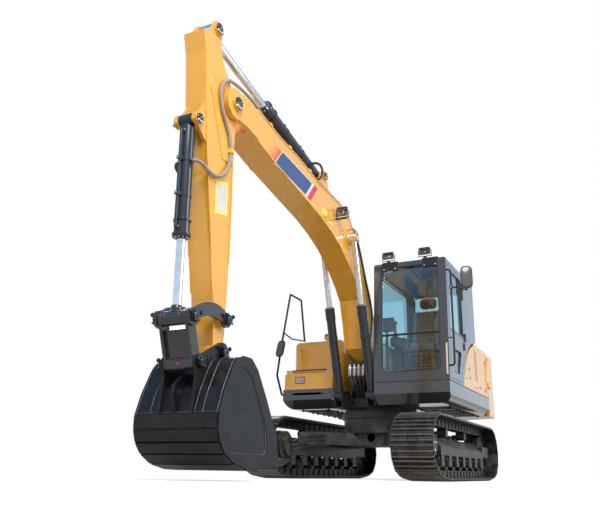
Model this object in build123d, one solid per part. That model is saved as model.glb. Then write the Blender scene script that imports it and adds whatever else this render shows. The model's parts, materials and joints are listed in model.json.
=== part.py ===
from build123d import *
from math import atan2, cos, hypot, pi, radians, sin, sqrt
import os

os.makedirs("parts", exist_ok=True)

# Crawler excavator, millimetres.  +X is forward over the sprockets, +Y is the cab side, +Z is up.
# The origin is on the ground, on the swing axis.

# ---------------------------------------------------------------- driving dimensions: tracks
TRACK_GAUGE = 1990.0          # between the tracks' centre planes
TUMBLER_SPAN = 2890.0         # idler axle to sprocket axle
DRIVE_X = TUMBLER_SPAN / 2    # the sprockets' axle, in front
IDLER_X = -TUMBLER_SPAN / 2
WHEEL_Z = 400.0               # height of both axles
BELT_RADIUS = 346.0           # axle to the outer face of a shoe's plate
GROUSER = 24.0                # height of a grouser over its plate
SHOE_WIDTH = 500.0
SHOE_COUNT = 46
SHOE_PLATE = 12.0             # plate thickness
CHAIN_DEPTH = 92.0            # links under the plates
CHAIN_WIDTH = 150.0
SHOE_PITCH = (2 * TUMBLER_SPAN + 2 * pi * BELT_RADIUS) / SHOE_COUNT
GROUND_HALF = DRIVE_X - 295   # flat run on the ground, from the swing axis each way
TOE_RADIUS = 200.0            # bend from the flat run into the ramps

ROLLER_R = 78.0
ROLLER_COUNT = 7
CARRIER_R = 55.0
CARRIER_X = (-TUMBLER_SPAN / 6, TUMBLER_SPAN / 6)
WHEEL_WIDTH = 110.0           # idler and sprocket
RUN_GAP = 0.3                 # wheel to chain

# ---------------------------------------------------------------- undercarriage frame
SIDE_FRAME_HALF = DRIVE_X - 315   # box length each way from the swing axis
ROLLER_PITCH = 2 * (SIDE_FRAME_HALF - 80) / (ROLLER_COUNT - 1)
SIDE_FRAME_WIDTH = 300.0
SIDE_FRAME_BOTTOM = 300.0
SIDE_FRAME_TOP = 515.0
YOKE_PLATE = 26.0
FRAME_BOTTOM = 440.0
FRAME_TOP = 660.0
FRAME_BOX = 410.0             # half side of the centre box
LEG_REACH = SIDE_FRAME_HALF - 230     # how far the legs run out in X
LEG_ROOT = LEG_REACH - 470
DRUM_R = 520.0
DRUM_TOP = 800.0
RACE_R = 545.0
RACE_TOP = 885.0
TOW_HOLE_R = 55.0
TOW_HOLE_Z = 540.0
FRAME_PLATE = 20.0
MOTOR_R = 178.0               # travel motor inside each side frame
MOTOR_DEPTH = 95.0

# ---------------------------------------------------------------- upper structure
DECK_BOTTOM = 930.0
SKIRT_Z = 1052.0              # where the bevelled band turns into the upright skirt
DECK_TOP = 1197.0
DECK_HALF = 1245.0
DECK_BEVEL = 125.0
DECK_PLATE = 14.0
CAB_DECK_FRONT = 942.0
BOX_DECK_FRONT = 632.0
DECK_REAR = -1380.0
TAIL_RADIUS = 2190.0
BODY_TOP = 1890.0
CAB_Y0 = 245.0                # inner wall of the cab
CAB_Y1 = DECK_HALF
CAB_FRONT = 925.0
CAB_REAR = -680.0
CAB_TOP = 2835.0
CAB_ROOF_FRONT = 835.0
CAB_WALL = 45.0
CAB_SHOULDER = 1925.0         # underside of the cab's rear, over the engine room
GAP = 6.0                     # running gap round doors and lids

# ---------------------------------------------------------------- working equipment
BOOM_Y = -60.0                # the boom's plane
BOOM_FOOT = (250.0, 1430.0)
BOOM_TIP = (4290.0, 3530.0)
BOOM_HALF = 155.0
BOOM_PLATE = 14.0
ARM_HALF = 117.0
ARM_PLATE = 12.0
BUCKET_PIN = (4310.0, 1062.0)
LINK_PIN = (4270.0, 1361.0)
JOINT_PIN = (4770.0, 1293.0)
TIP_LINK_PIN = (4645.0, 930.0)
BUCKET_HALF = 412.0
BUCKET_PLATE = 18.0
SIDE_CLEAR = 0.3              # between faces that turn past each other at a pin, and at a seat


# ---------------------------------------------------------------- helpers
def block(x0, x1, y0, y1, z0, z1):
    return Pos((x0 + x1) / 2, (y0 + y1) / 2, (z0 + z1) / 2) * Box(x1 - x0, y1 - y0, z1 - z0)


def face_xz(points, y=0.0):
    return Face(Wire.make_polygon([(x, y, z) for x, z in points]))


def plate_y(points, y0, y1):
    """A flat XZ outline, given thickness along Y."""
    return extrude(face_xz(points, y0), amount=y1 - y0, dir=(0, 1, 0))


def plate_x(points, x0, x1):
    face = Face(Wire.make_polygon([(x0, y, z) for y, z in points]))
    return extrude(face, amount=x1 - x0, dir=(1, 0, 0))


def plate_z(points, z0, z1):
    face = Face(Wire.make_polygon([(x, y, z0) for x, y in points]))
    return extrude(face, amount=z1 - z0, dir=(0, 0, 1))


def disc_y(centre, radius, y0, y1):
    x, z = centre
    return Solid.make_cylinder(radius, y1 - y0, Plane(origin=(x, y0, z), z_dir=(0, 1, 0)))


def disc_z(x, y, radius, z0, z1):
    return Solid.make_cylinder(radius, z1 - z0, Plane(origin=(x, y, z0), z_dir=(0, 0, 1)))


def rod_between(start, end, radius):
    a, b = Vector(*start), Vector(*end)
    return Solid.make_cylinder(radius, (b - a).length, Plane(origin=a, z_dir=b - a))


def tube(points, radius, bend):
    """A round bar along straight runs joined by tangent arcs."""
    path = FilletPolyline(*points, radius=bend)
    start = path @ 0
    section = Plane(origin=start, z_dir=path % 0) * Circle(radius)
    return sweep(section, path=path)


def along(start, end, distance):
    """The point at a distance from start towards end, in the XZ plane."""
    span = hypot(end[0] - start[0], end[1] - start[1])
    t = distance / span
    return (start[0] + (end[0] - start[0]) * t, start[1] + (end[1] - start[1]) * t)


def joined(pieces):
    pieces = list(pieces)
    total = pieces[0]
    for piece in pieces[1:]:
        total = total + piece
    return total


def apart(pieces):
    """Like pieces that don't touch, kept as separate solids in one node."""
    return Compound(children=[s for p in pieces for s in p.solids()])


# ---------------------------------------------------------------- tracks
def belt_path():
    """The shoes' joint points, evenly spaced on a belt round four circles."""
    toe_z = GROUSER + TOE_RADIUS
    half = TUMBLER_SPAN / 2
    # columns: centre x, centre z, radius; anticlockwise seen with X right and Z up
    circles = [
        (half, WHEEL_Z, BELT_RADIUS),
        (-half, WHEEL_Z, BELT_RADIUS),
        (-GROUND_HALF, toe_z, TOE_RADIUS),
        (GROUND_HALF, toe_z, TOE_RADIUS),
    ]
    count = len(circles)
    normals = []
    for i, (x0, z0, r0) in enumerate(circles):
        x1, z1, r1 = circles[(i + 1) % count]
        dx, dz = x1 - x0, z1 - z0
        span = hypot(dx, dz)
        # the outward normal of the tangent line, which lies right of the travel
        tilt = atan2(dz, dx) - pi / 2
        lean = (r1 - r0) / span
        normals.append(tilt + (-1 if lean < 0 else 1) * abs(atan2(lean, sqrt(1 - lean * lean))) * -1)
    pieces = []
    for i, (x, z, r) in enumerate(circles):
        a0, a1 = normals[i - 1], normals[i]
        while a1 < a0:
            a1 += 2 * pi
        pieces.append(("arc", (x, z, r, a0), (a1 - a0) * r))
        x1, z1, r1 = circles[(i + 1) % count]
        start = (x + r * cos(normals[i]), z + r * sin(normals[i]))
        end = (x1 + r1 * cos(normals[i]), z1 + r1 * sin(normals[i]))
        pieces.append(("line", (start, end), hypot(end[0] - start[0], end[1] - start[1])))
    total = sum(p[2] for p in pieces)
    points = []
    for k in range(SHOE_COUNT):
        s = total * k / SHOE_COUNT
        for kind, data, length in pieces:
            if s <= length:
                break
            s -= length
        if kind == "arc":
            x, z, r, a0 = data
            points.append((x + r * cos(a0 + s / r), z + r * sin(a0 + s / r)))
        else:
            points.append(along(data[0], data[1], s))
    return points


def inset(points, depth):
    """Each joint point moved inwards, square to the mean of its two chords."""
    out = []
    n = len(points)
    for i, (x, z) in enumerate(points):
        xa, za = points[i - 1]
        xb, zb = points[(i + 1) % n]
        span = hypot(xb - xa, zb - za)
        out.append((x - (zb - za) / span * depth, z + (xb - xa) / span * depth))
    return out


def shoe_outline(joints):
    """The belt's outer edge: each chord carries three grousers."""
    # columns: place along the plate as a share of its length, height as a share of the grouser
    lugs = [(0.07, 0), (0.13, 1), (0.19, 0), (0.44, 0), (0.50, 1), (0.56, 0), (0.81, 0), (0.87, 1), (0.93, 0)]
    out = []
    n = len(joints)
    for i, (x0, z0) in enumerate(joints):
        x1, z1 = joints[(i + 1) % n]
        span = hypot(x1 - x0, z1 - z0)
        tx, tz = (x1 - x0) / span, (z1 - z0) / span
        out.append((x0, z0))
        for share, height in lugs:
            s, h = share * span, height * GROUSER
            out.append((x0 + tx * s + tz * h, z0 + tz * s - tx * h))
    return out


def track(y):
    joints = belt_path()
    under = inset(joints, SHOE_PLATE)
    inner = inset(joints, SHOE_PLATE + CHAIN_DEPTH)
    w, c = SHOE_WIDTH / 2, CHAIN_WIDTH / 2
    shoes = plate_y(shoe_outline(joints), y - w, y + w) - plate_y(under, y - w, y + w)
    chain = plate_y(under, y - c, y + c) - plate_y(inner, y - c, y + c)
    return shoes + chain


CHORD_DIP = BELT_RADIUS - sqrt(BELT_RADIUS**2 - (SHOE_PITCH / 2) ** 2)
WHEEL_R = BELT_RADIUS - CHORD_DIP - SHOE_PLATE - CHAIN_DEPTH - RUN_GAP
ROLLER_Z = GROUSER + SHOE_PLATE + CHAIN_DEPTH + ROLLER_R + RUN_GAP
CARRIER_Z = WHEEL_Z + BELT_RADIUS - SHOE_PLATE - CHAIN_DEPTH - CARRIER_R - RUN_GAP
YOKE_IN = SIDE_FRAME_WIDTH / 2 - YOKE_PLATE
AXLE_R = 38.0


def track_frame(y, inward):
    """Side frame box with roller brackets, the idler's yoke, the final drive's plate and its motor."""
    h = SIDE_FRAME_WIDTH / 2
    # YZ section; the top slopes down towards the outside
    section = [
        (y + inward * h, SIDE_FRAME_BOTTOM),
        (y + inward * h, SIDE_FRAME_TOP),
        (y - inward * h * 0.2, SIDE_FRAME_TOP),
        (y - inward * h, SIDE_FRAME_TOP - 120),
        (y - inward * h, SIDE_FRAME_BOTTOM),
    ]
    body = plate_x(section, -SIDE_FRAME_HALF, SIDE_FRAME_HALF)
    for i in range(ROLLER_COUNT):
        x = (i - (ROLLER_COUNT - 1) / 2) * ROLLER_PITCH
        for side in (-1, 1):
            y0, y1 = sorted((y + side * YOKE_IN, y + side * h))
            body += block(x - 60, x + 60, y0, y1, ROLLER_Z - 32, SIDE_FRAME_BOTTOM)
    for side in (-1, 1):
        y0, y1 = sorted((y + side * YOKE_IN, y + side * h))
        body += block(IDLER_X - 70, -SIDE_FRAME_HALF, y0, y1, WHEEL_Z - 70, WHEEL_Z + 70)
    y0, y1 = sorted((y + inward * YOKE_IN, y + inward * h))
    body += disc_y((DRIVE_X, WHEEL_Z), WHEEL_R * 0.8, y0, y1)
    body += block(SIDE_FRAME_HALF, DRIVE_X, y0, y1, SIDE_FRAME_BOTTOM, SIDE_FRAME_TOP - 20)
    # the travel motor, stepped, on the inner side of the drive's plate
    for radius, reach in ((MOTOR_R, MOTOR_DEPTH), (MOTOR_R * 0.68, MOTOR_DEPTH + 45)):
        body += disc_y((DRIVE_X, WHEEL_Z), radius, *sorted((y + inward * YOKE_IN, y + inward * (h + reach))))
    for x in CARRIER_X:
        y0, y1 = sorted((y + inward * (CHAIN_WIDTH / 2 + 10), y + inward * (CHAIN_WIDTH / 2 + 40)))
        body += block(x - 35, x + 35, y0, y1, SIDE_FRAME_TOP - 30, CARRIER_Z + 22)
    return body


def roller(x, z, radius, y, half, axle_half):
    return disc_y((x, z), radius, y - half, y + half) + disc_y((x, z), AXLE_R, y - axle_half, y + axle_half)


def sprocket(y, inward):
    """Toothed wheel bolted round the final drive, which stands on the frame's plate."""
    teeth = 21
    c = (DRIVE_X, WHEEL_Z)
    outline = []
    for i in range(teeth * 2):
        a = 2 * pi * (i + 0.5) / (teeth * 2)
        for share in (-0.3, 0.3):
            r = WHEEL_R if i % 2 else WHEEL_R - 26
            b = a + share * pi / teeth
            outline.append((c[0] + r * cos(b), c[1] + r * sin(b)))
    wheel = plate_y(outline, y - 25, y + 25)
    y0, y1 = sorted((y + inward * YOKE_IN, y - inward * 120))
    wheel += disc_y(c, WHEEL_R * 0.72, y0, y1)
    y0, y1 = sorted((y - inward * 120, y - inward * 165))
    return wheel + disc_y(c, WHEEL_R * 0.5, y0, y1)


def centre_frame():
    """The H of the undercarriage: a box, four legs to the side frames and the bearing's drum."""
    b = FRAME_BOX
    inner = TRACK_GAUGE / 2 - SIDE_FRAME_WIDTH / 2
    body = block(-b, b, -b, b, FRAME_BOTTOM, FRAME_TOP)
    for sx in (-1, 1):
        for sy in (-1, 1):
            leg = [(sx * 60, sy * 300), (sx * b, sy * 180), (sx * LEG_REACH, sy * inner), (sx * LEG_ROOT, sy * inner)]
            body += plate_z(leg, FRAME_BOTTOM, FRAME_TOP - 60)
    body += disc_z(0, 0, DRUM_R, FRAME_TOP - 60, DRUM_TOP)
    inside = b - FRAME_PLATE
    body -= block(-inside, inside, -inside, inside, FRAME_BOTTOM + FRAME_PLATE, FRAME_TOP - FRAME_PLATE)
    body -= disc_z(0, 0, DRUM_R - FRAME_PLATE * 2, FRAME_TOP, DRUM_TOP - FRAME_PLATE)
    hole = Solid.make_cylinder(TOW_HOLE_R, b * 3, Plane(origin=(-b * 1.5, 0, TOW_HOLE_Z), z_dir=(1, 0, 0)))
    return body - hole


def slewing_ring():
    return disc_z(0, 0, RACE_R, DRUM_TOP, RACE_TOP) - disc_z(0, 0, RACE_R - 110, DRUM_TOP, RACE_TOP)


# ---------------------------------------------------------------- upper structure
BOOM_EAR = 34.0
EAR_IN = BOOM_HALF + SIDE_CLEAR
CYL_OFFSET = 230.0            # boom cylinders' axes from the boom's plane
CYL_EYE = 46.0                # half width of their eyes
CYL_LUG = 22.0                # thickness of each clevis lug
BOOM_CYL_FOOT = (800.0, 1060.0)
BOOM_CYL_EYE = (1400.0, 3060.0)
BEAM_FRONT = 560.0


def revolving_frame():
    """Floor plate, two main beams that end in the boom's ears, and the bearing's inner race."""
    t = DECK_PLATE * 2
    body = block(DECK_REAR, BEAM_FRONT, TANK_Y1 + 20, CAB_Y0 + 8, DECK_BOTTOM, DECK_BOTTOM + t)
    fx, fz = BOOM_FOOT
    for sign in (-1, 1):
        y0, y1 = sorted((BOOM_Y + sign * EAR_IN, BOOM_Y + sign * (EAR_IN + BOOM_EAR)))
        side = [
            (DECK_REAR, DECK_BOTTOM + t), (BEAM_FRONT, DECK_BOTTOM + t), (BEAM_FRONT, fz - 330),
            (fx + 95, fz - 60), (fx + 90, fz + 60), (fx + 40, fz + 100), (fx - 50, fz + 100),
            (fx - 110, fz + 30), (fx - 700, DECK_TOP), (DECK_REAR, DECK_TOP),
        ]
        body += plate_y(side, y0, y1)
        body += disc_y(BOOM_FOOT, 95, *sorted((BOOM_Y + sign * (EAR_IN + BOOM_EAR), BOOM_Y + sign * (EAR_IN + BOOM_EAR + 16))))
    # clevis for the boom cylinders, low on the front
    cx, cz = BOOM_CYL_FOOT
    for sign in (-1, 1):
        reach = CYL_EYE + SIDE_CLEAR
        for inner_y in (CYL_OFFSET - reach - CYL_LUG, CYL_OFFSET + reach):
            y0, y1 = sorted((BOOM_Y + sign * inner_y, BOOM_Y + sign * (inner_y + CYL_LUG)))
            lug = [(BEAM_FRONT - 120, DECK_BOTTOM), (cx + 40, DECK_BOTTOM), (cx + 62, cz - 30), (cx + 55, cz + 35),
                   (cx + 5, cz + 64), (cx - 45, cz + 52), (cx - 150, cz + 45), (BEAM_FRONT - 120, cz + 60)]
            body += plate_y(lug, y0, y1)
        y0, y1 = sorted((BOOM_Y + sign * (CYL_OFFSET - reach), BOOM_Y + sign * (CYL_OFFSET + reach)))
        body += block(BEAM_FRONT - 120, cx - 100, y0, y1, DECK_BOTTOM, cz + 40)
    body += disc_z(0, 0, RACE_R - 45, RACE_TOP + SIDE_CLEAR, DECK_BOTTOM)
    return body


BELLY_HOLES = (-900.0, -500.0, -100.0)     # drain holes along the belly plates


def deck_bar(sign, front, rear, inner_y, inset):
    """Long box of the deck's edge with its lower outer edge rounded, drawn in by a wall."""
    y0, y1 = sorted((inner_y + sign * inset, sign * (DECK_HALF - inset)))
    bar = block(rear, front, y0, y1, DECK_BOTTOM + inset, DECK_TOP - inset)
    low = [e for e in bar.edges().filter_by(Axis.X)
           if e.center().Z < DECK_BOTTOM + inset + 1 and abs(e.center().Y) > DECK_HALF - inset - 1]
    return fillet(low, DECK_BEVEL - inset)


def deck_skirt(sign, front, inner_y):
    """Edge of the deck on one side, with its top plate, its belly plate and its closed front."""
    t = DECK_PLATE
    shell = deck_bar(sign, front, DECK_REAR, inner_y, 0)
    shell -= deck_bar(sign, front - t, DECK_REAR + t, inner_y, t)
    for x in BELLY_HOLES:
        shell -= disc_z(x, (inner_y + sign * DECK_HALF) / 2, 45, DECK_BOTTOM - 5, DECK_BOTTOM + t + 5)
    nose = [(front - 130, DECK_BOTTOM - 1), (front + 1, DECK_BOTTOM - 1), (front + 1, SKIRT_Z)]
    slope = [(front - 130 - t, DECK_BOTTOM - 1), (front - 130 - t, DECK_BOTTOM + 6), (front - t, SKIRT_Z + 6),
             (front, SKIRT_Z + 6), (front, SKIRT_Z - 20), (front - 110, DECK_BOTTOM - 1)]
    whole = deck_bar(sign, front, DECK_REAR, inner_y, 0)
    shell += plate_y(slope, *sorted((inner_y, sign * DECK_HALF))) & whole
    return shell - plate_y(nose, *sorted((inner_y - sign, sign * (DECK_HALF + 1))))


def deck_slot():
    """Tapered step slot through the right deck's front."""
    x = BOX_DECK_FRONT
    y = (TANK_Y0 + TANK_Y1) / 2
    z = (SKIRT_Z + DECK_TOP) / 2 + 8
    slot = [(y - 270, z), (y - 180, z + 15), (y + 180, z + 15), (y + 270, z), (y + 180, z - 17), (y - 180, z - 17)]
    return plate_x(slot, x - 40, x + 10)


def counterweight():
    """Cast block with a round tail, a flat top and an undercut below the beams."""
    tail = disc_z(0, 0, TAIL_RADIUS, DECK_BOTTOM, BODY_TOP)
    body = tail & block(-TAIL_RADIUS - 10, DECK_REAR - SIDE_CLEAR, -DECK_HALF, DECK_HALF, DECK_BOTTOM, BODY_TOP)
    body = Part(body.wrapped) if not isinstance(body, Part) else body
    vertical = body.edges().filter_by(Axis.Z)
    rear = [e for e in vertical if e.center().X < DECK_REAR - 100]
    body = fillet(rear, 130)
    top = [e for e in body.edges() if e.center().Z > BODY_TOP - 1 and e.center().X < DECK_REAR - 60]
    body = fillet(top, 45)
    for sign in (-1, 1):
        body += upright_knuckles(SIDE_DOOR_X, sign * DECK_HALF, SIDE_DOOR_Z, FIXED, DECK_REAR - 45)
        # pocket with a lifting bar across it
        y0, y1 = sorted((sign * 620, sign * 780))
        body -= block(-1900, -1720, y0, y1, BODY_TOP - 90, BODY_TOP + 5)
        body += rod_between((-1810, y0 - 10, BODY_TOP - 35), (-1810, y1 + 10, BODY_TOP - 35), 22)
    return body


def cab_profile(shrink=0.0):
    """XZ outline of the cab; the lower rear is rounded off over the engine room."""
    s = shrink
    lean = (CAB_FRONT - CAB_ROOF_FRONT) / (CAB_TOP - DECK_TOP)
    z0, z1 = DECK_TOP + s, CAB_TOP - s
    front_low, front_top = CAB_FRONT - s - lean * s, CAB_ROOF_FRONT - s + lean * s
    foot = 200.0 + s * 0.6
    arc_top = (CAB_REAR + 70 + s, CAB_SHOULDER + s)
    arc_mid = (8 + s * 0.7, 1575 + s * 0.7)
    path = (
        Polyline((foot, 0, z0), (front_low, 0, z0), (front_top, 0, z1), (CAB_REAR + s, 0, z1),
                 (CAB_REAR + s, 0, arc_top[1]), (arc_top[0], 0, arc_top[1]))
        + ThreePointArc((arc_top[0], 0, arc_top[1]), (arc_mid[0], 0, arc_mid[1]), (foot, 0, z0))
    )
    return Face(Wire(path.edges()))


def cab_block(shrink, y0, y1):
    face = Pos(0, y0, 0) * cab_profile(shrink)
    return extrude(face, amount=y1 - y0, dir=(0, 1, 0))


ROOF_Z = CAB_TOP - 62
DOOR_FRONT, DOOR_REAR = 800.0, -10.0
DOOR_BOTTOM, DOOR_TOP = 1240.0, CAB_TOP - 100
GLASS_TOP = CAB_TOP - 145
# the door's outline, clear of the rounded rear of the cab's floor
DOOR_OUTLINE = [
    (DOOR_FRONT + 40, DOOR_BOTTOM), (DOOR_FRONT - 22, DOOR_TOP), (DOOR_REAR, DOOR_TOP),
    (DOOR_REAR, 1680), (255, 1440), (285, DOOR_BOTTOM),
]
DOOR_GLASS = [(735, 1880), (700, GLASS_TOP), (70, GLASS_TOP), (70, 1880)]
DOOR_GLASS_LOW = [(690, 1330), (660, 1640), (240, 1640), (330, 1440), (350, 1330)]
SIDE_GLASS = [(690, 1760), (640, GLASS_TOP), (-560, GLASS_TOP), (-560, 2010), (-300, 2010), (60, 1760)]
SCREEN_SPLIT = 1820.0
SCREEN_BOTTOM, SCREEN_TOP = 1325.0, ROOF_Z - 12
SCREEN_Y0, SCREEN_Y1 = CAB_Y0 + 105, CAB_Y1 - 105
REAR_GLASS = (CAB_Y0 + 100, CAB_Y1 - 100, 2060.0, GLASS_TOP)     # y0, y1, z0, z1
GLASS = 6.0


def grow(points, amount):
    """A closed outline moved outwards by an amount."""
    face = face_xz(points)
    moved = offset(face, amount, kind=Kind.INTERSECTION)
    return moved


def prism_of(face, y0, y1):
    return extrude(Pos(0, y0, 0) * face, amount=y1 - y0, dir=(0, 1, 0))


def cab_body():
    body = cab_block(0, CAB_Y0, CAB_Y1) - cab_block(CAB_WALL, CAB_Y0 + CAB_WALL, CAB_Y1 - CAB_WALL)
    body -= block(CAB_REAR - 50, CAB_FRONT + 50, CAB_Y0 - 5, CAB_Y1 + 5, ROOF_Z, CAB_TOP + 50)
    body -= prism_of(grow(DOOR_OUTLINE, GAP), CAB_Y1 - CAB_WALL - 5, CAB_Y1 + 5)
    body -= plate_y(SIDE_GLASS, CAB_Y0 - 5, CAB_Y0 + CAB_WALL + 5)
    body -= screen_cutter(SCREEN_BOTTOM, SCREEN_TOP)
    y0, y1, z0, z1 = REAR_GLASS
    body -= block(CAB_REAR - 5, CAB_REAR + CAB_WALL + 5, y0, y1, z0, z1)
    return body + upright_knuckles(*CAB_DOOR_PIN, CAB_DOOR_Z, FIXED, DOOR_REAR - 48)


def front_x(z):
    """X of the cab's sloping front at a height."""
    return CAB_FRONT + (CAB_ROOF_FRONT - CAB_FRONT) * (z - DECK_TOP) / (CAB_TOP - DECK_TOP)


def screen_cutter(z0, z1):
    cutter = block(front_x(z0) - 160, CAB_FRONT + 60, SCREEN_Y0, SCREEN_Y1, z0, z1)
    low = cutter.edges().filter_by(Axis.X).group_by(Axis.Z)[0]
    return fillet(low, 85)


def cab_roof():
    slab = cab_block(0, CAB_Y0, CAB_Y1) & block(CAB_REAR, CAB_FRONT, CAB_Y0, CAB_Y1, ROOF_Z, CAB_TOP)
    rim = [e for e in slab.edges() if e.center().Z > CAB_TOP - 1]
    return fillet(rim, 40)


def screen_plate(z0, z1, depth):
    """Glass between two heights, inside the sloping front."""
    points = [
        (front_x(z0) - depth, z0), (front_x(z1) - depth, z1),
        (front_x(z1) - depth - GLASS, z1), (front_x(z0) - depth - GLASS, z0),
    ]
    return plate_y(points, SCREEN_Y0 + 0.5, SCREEN_Y1 - 0.5)


def windscreen():
    opening = screen_cutter(SCREEN_BOTTOM, SCREEN_TOP)
    upper = screen_plate(SCREEN_SPLIT + 12, SCREEN_TOP, 14)
    lower = screen_plate(SCREEN_BOTTOM, SCREEN_SPLIT - 12, 14) & opening
    return apart([upper, lower])


def screen_bar():
    z0, z1 = SCREEN_SPLIT - 12, SCREEN_SPLIT + 12
    points = [(front_x(z0) - 4, z0), (front_x(z1) - 4, z1), (front_x(z1) - 34, z1), (front_x(z0) - 34, z0)]
    return plate_y(points, SCREEN_Y0, SCREEN_Y1)


def cab_side_glass():
    right = plate_y(SIDE_GLASS, CAB_Y0 + 12, CAB_Y0 + 12 + GLASS)
    y0, y1, z0, z1 = REAR_GLASS
    rear = block(CAB_REAR + 12, CAB_REAR + 12 + GLASS, y0, y1, z0, z1)
    return apart([right, rear])


def cab_door():
    door = plate_y(DOOR_OUTLINE, CAB_Y1 - CAB_WALL, CAB_Y1)
    for outline in (DOOR_GLASS, DOOR_GLASS_LOW):
        door -= plate_y(outline, CAB_Y1 - CAB_WALL - 5, CAB_Y1 + 5)
    return door + upright_knuckles(*CAB_DOOR_PIN, CAB_DOOR_Z, 0, DOOR_REAR + 42)


HINGE_R = 11.0
HINGE_LENGTH = 55.0
HINGE_STAND = HINGE_R + 1     # the pin's axis stands this far off the panel's face
FIXED = HINGE_LENGTH + SIDE_CLEAR     # the fixed knuckle starts this far past the moving one
CAB_DOOR_PIN = (DOOR_REAR - GAP / 2, CAB_Y1)
CAB_DOOR_Z = (1830.0, 2560.0)
SIDE_DOOR_Z = (1330.0, 1700.0)
SIDE_DOOR_X = DECK_REAR + GAP / 2


def upright_knuckles(x, face_y, heights, offset, leaf_end):
    """Knuckles on an upright pin, each with a leaf on the face, which looks away from the machine's middle."""
    pin_y = face_y + (HINGE_STAND if face_y > 0 else -HINGE_STAND)
    x0, x1 = sorted((x, leaf_end))
    y0, y1 = sorted((face_y, pin_y))
    pieces = []
    for z in heights:
        z0, z1 = z + offset, z + offset + HINGE_LENGTH
        pieces.append(disc_z(x, pin_y, HINGE_R, z0, z1) + block(x0, x1, y0, y1, z0, z1))
    return joined(pieces)


def level_knuckles(pin, places, offset, leaf_end, leaf_low):
    """Knuckles on a level pin along Y, each with a leaf that reaches down to a face."""
    x, z = pin
    x0, x1 = sorted((x, leaf_end))
    pieces = []
    for y in places:
        y0, y1 = y + offset, y + offset + HINGE_LENGTH
        pieces.append(disc_y(pin, HINGE_R, y0, y1) + block(x0, x1, y0, y1, leaf_low, z))
    return joined(pieces)


def door_glass():
    y = CAB_Y1 - 20
    return apart([plate_y(DOOR_GLASS, y - GLASS, y), plate_y(DOOR_GLASS_LOW, y - GLASS, y)])


CAB_FLOOR = DECK_TOP + CAB_WALL
SEAT_X, SEAT_Y = 130.0, (CAB_Y0 + CAB_Y1) / 2


def seat():
    """Suspension seat: pedestal, cushion, backrest and headrest in one piece."""
    x, y = SEAT_X, SEAT_Y
    body = block(x + 110, x + 330, y - 170, y + 170, CAB_FLOOR, 1640)
    cushion = block(x - 60, x + 440, y - 250, y + 250, 1640, 1760)
    back = [(x - 60, 1640), (x + 70, 1640), (x + 40, 1760), (x - 90, 2330), (x - 210, 2330)]
    body += fillet(cushion.edges().filter_by(Axis.Z), 60)
    body += plate_y(back, y - 235, y + 235)
    head = [(x - 115, 2330), (x - 125, 2500), (x - 215, 2500), (x - 205, 2330)]
    return body + plate_y(head, y - 130, y + 130)


def cab_controls():
    """Two joystick consoles, the travel levers and pedals, and the monitor on its post."""
    pieces = []
    for side in (-1, 1):
        y = SEAT_Y + side * 330
        y0, y1 = y - 65, y + 65
        console = block(SEAT_X + 60, SEAT_X + 400, y0, y1, 1740, 1860)
        console += block(SEAT_X + 150, SEAT_X + 280, y0 + 20, y1 - 20, CAB_FLOOR, 1740)
        console += rod_between((SEAT_X + 360, y, 1855), (SEAT_X + 375, y, 2040), 16)
        console += Pos(SEAT_X + 376, y, 2060) * Sphere(32)
        pieces.append(console)
    for side in (-1, 1):
        y = SEAT_Y + side * 75
        foot = SEAT_X + 560
        lever = block(foot - 60, foot + 90, y - 45, y + 45, CAB_FLOOR, CAB_FLOOR + 60)
        lever += rod_between((foot, y, CAB_FLOOR + 50), (foot + 30, y, 1880), 11)
        pieces.append(lever)
    y = CAB_Y0 + 125
    post = rod_between((720, y, CAB_FLOOR), (720, y, 1900), 18)
    post += block(700, 735, y - 50, y + 100, 1900, 2090)
    pieces.append(post)
    return apart(pieces)


TANK_X0, TANK_X1 = -560.0, 300.0
TANK_Y0, TANK_Y1 = -DECK_HALF, -470.0
TANK_TOP = 1950.0
TOOLBOX_TOP = 1480.0


def fuel_tank():
    tank = block(TANK_X0, TANK_X1, TANK_Y0, TANK_Y1, DECK_TOP, TANK_TOP)
    outer = [e for e in tank.edges().filter_by(Axis.X) if e.center().Z > TANK_TOP - 1]
    front = [e for e in tank.edges().filter_by(Axis.Z) if e.center().X > TANK_X1 - 1]
    front += [e for e in tank.edges().filter_by(Axis.Y) if e.center().Z > TANK_TOP - 1 and e.center().X > TANK_X1 - 1]
    tank = fillet(outer + front, 70)
    neck = disc_z(60, -800, 50, TANK_TOP, TANK_TOP + 70) + disc_z(60, -800, 62, TANK_TOP + 70, TANK_TOP + 100)
    return tank + neck + level_knuckles(LID_PIN, LID_Y, FIXED, TANK_X1 - 2, LID_PIN[1] - 8)


LID_PLATE = 25.0
LID_PIN = (TANK_X1 + 14, TOOLBOX_TOP + HINGE_STAND)
LID_Y = (-1100.0, -700.0)


def toolbox():
    """Box with a sloping front edge and a long finger slot under its lid."""
    x1 = BOX_DECK_FRONT - 12
    side = [(TANK_X1, DECK_TOP), (x1, DECK_TOP), (x1 - 12, TOOLBOX_TOP - 60), (x1 - 60, TOOLBOX_TOP - LID_PLATE),
            (TANK_X1, TOOLBOX_TOP - LID_PLATE)]
    body = plate_y(side, TANK_Y0 + 8, TANK_Y1 - 8)
    outer = [e for e in body.edges() if abs(e.center().Y - TANK_Y0 - 8) < 1 and e.center().X > x1 - 70]
    body = fillet(outer, 18)
    body -= block(TANK_X1 + 25, x1 - 75, TANK_Y0 + 40, TANK_Y1 - 40, DECK_TOP + 40, TOOLBOX_TOP)
    return body - block(x1 - 68, x1 - 20, TANK_Y0 + 130, TANK_Y1 - 130, TOOLBOX_TOP - 62, TOOLBOX_TOP - 34)


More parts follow.
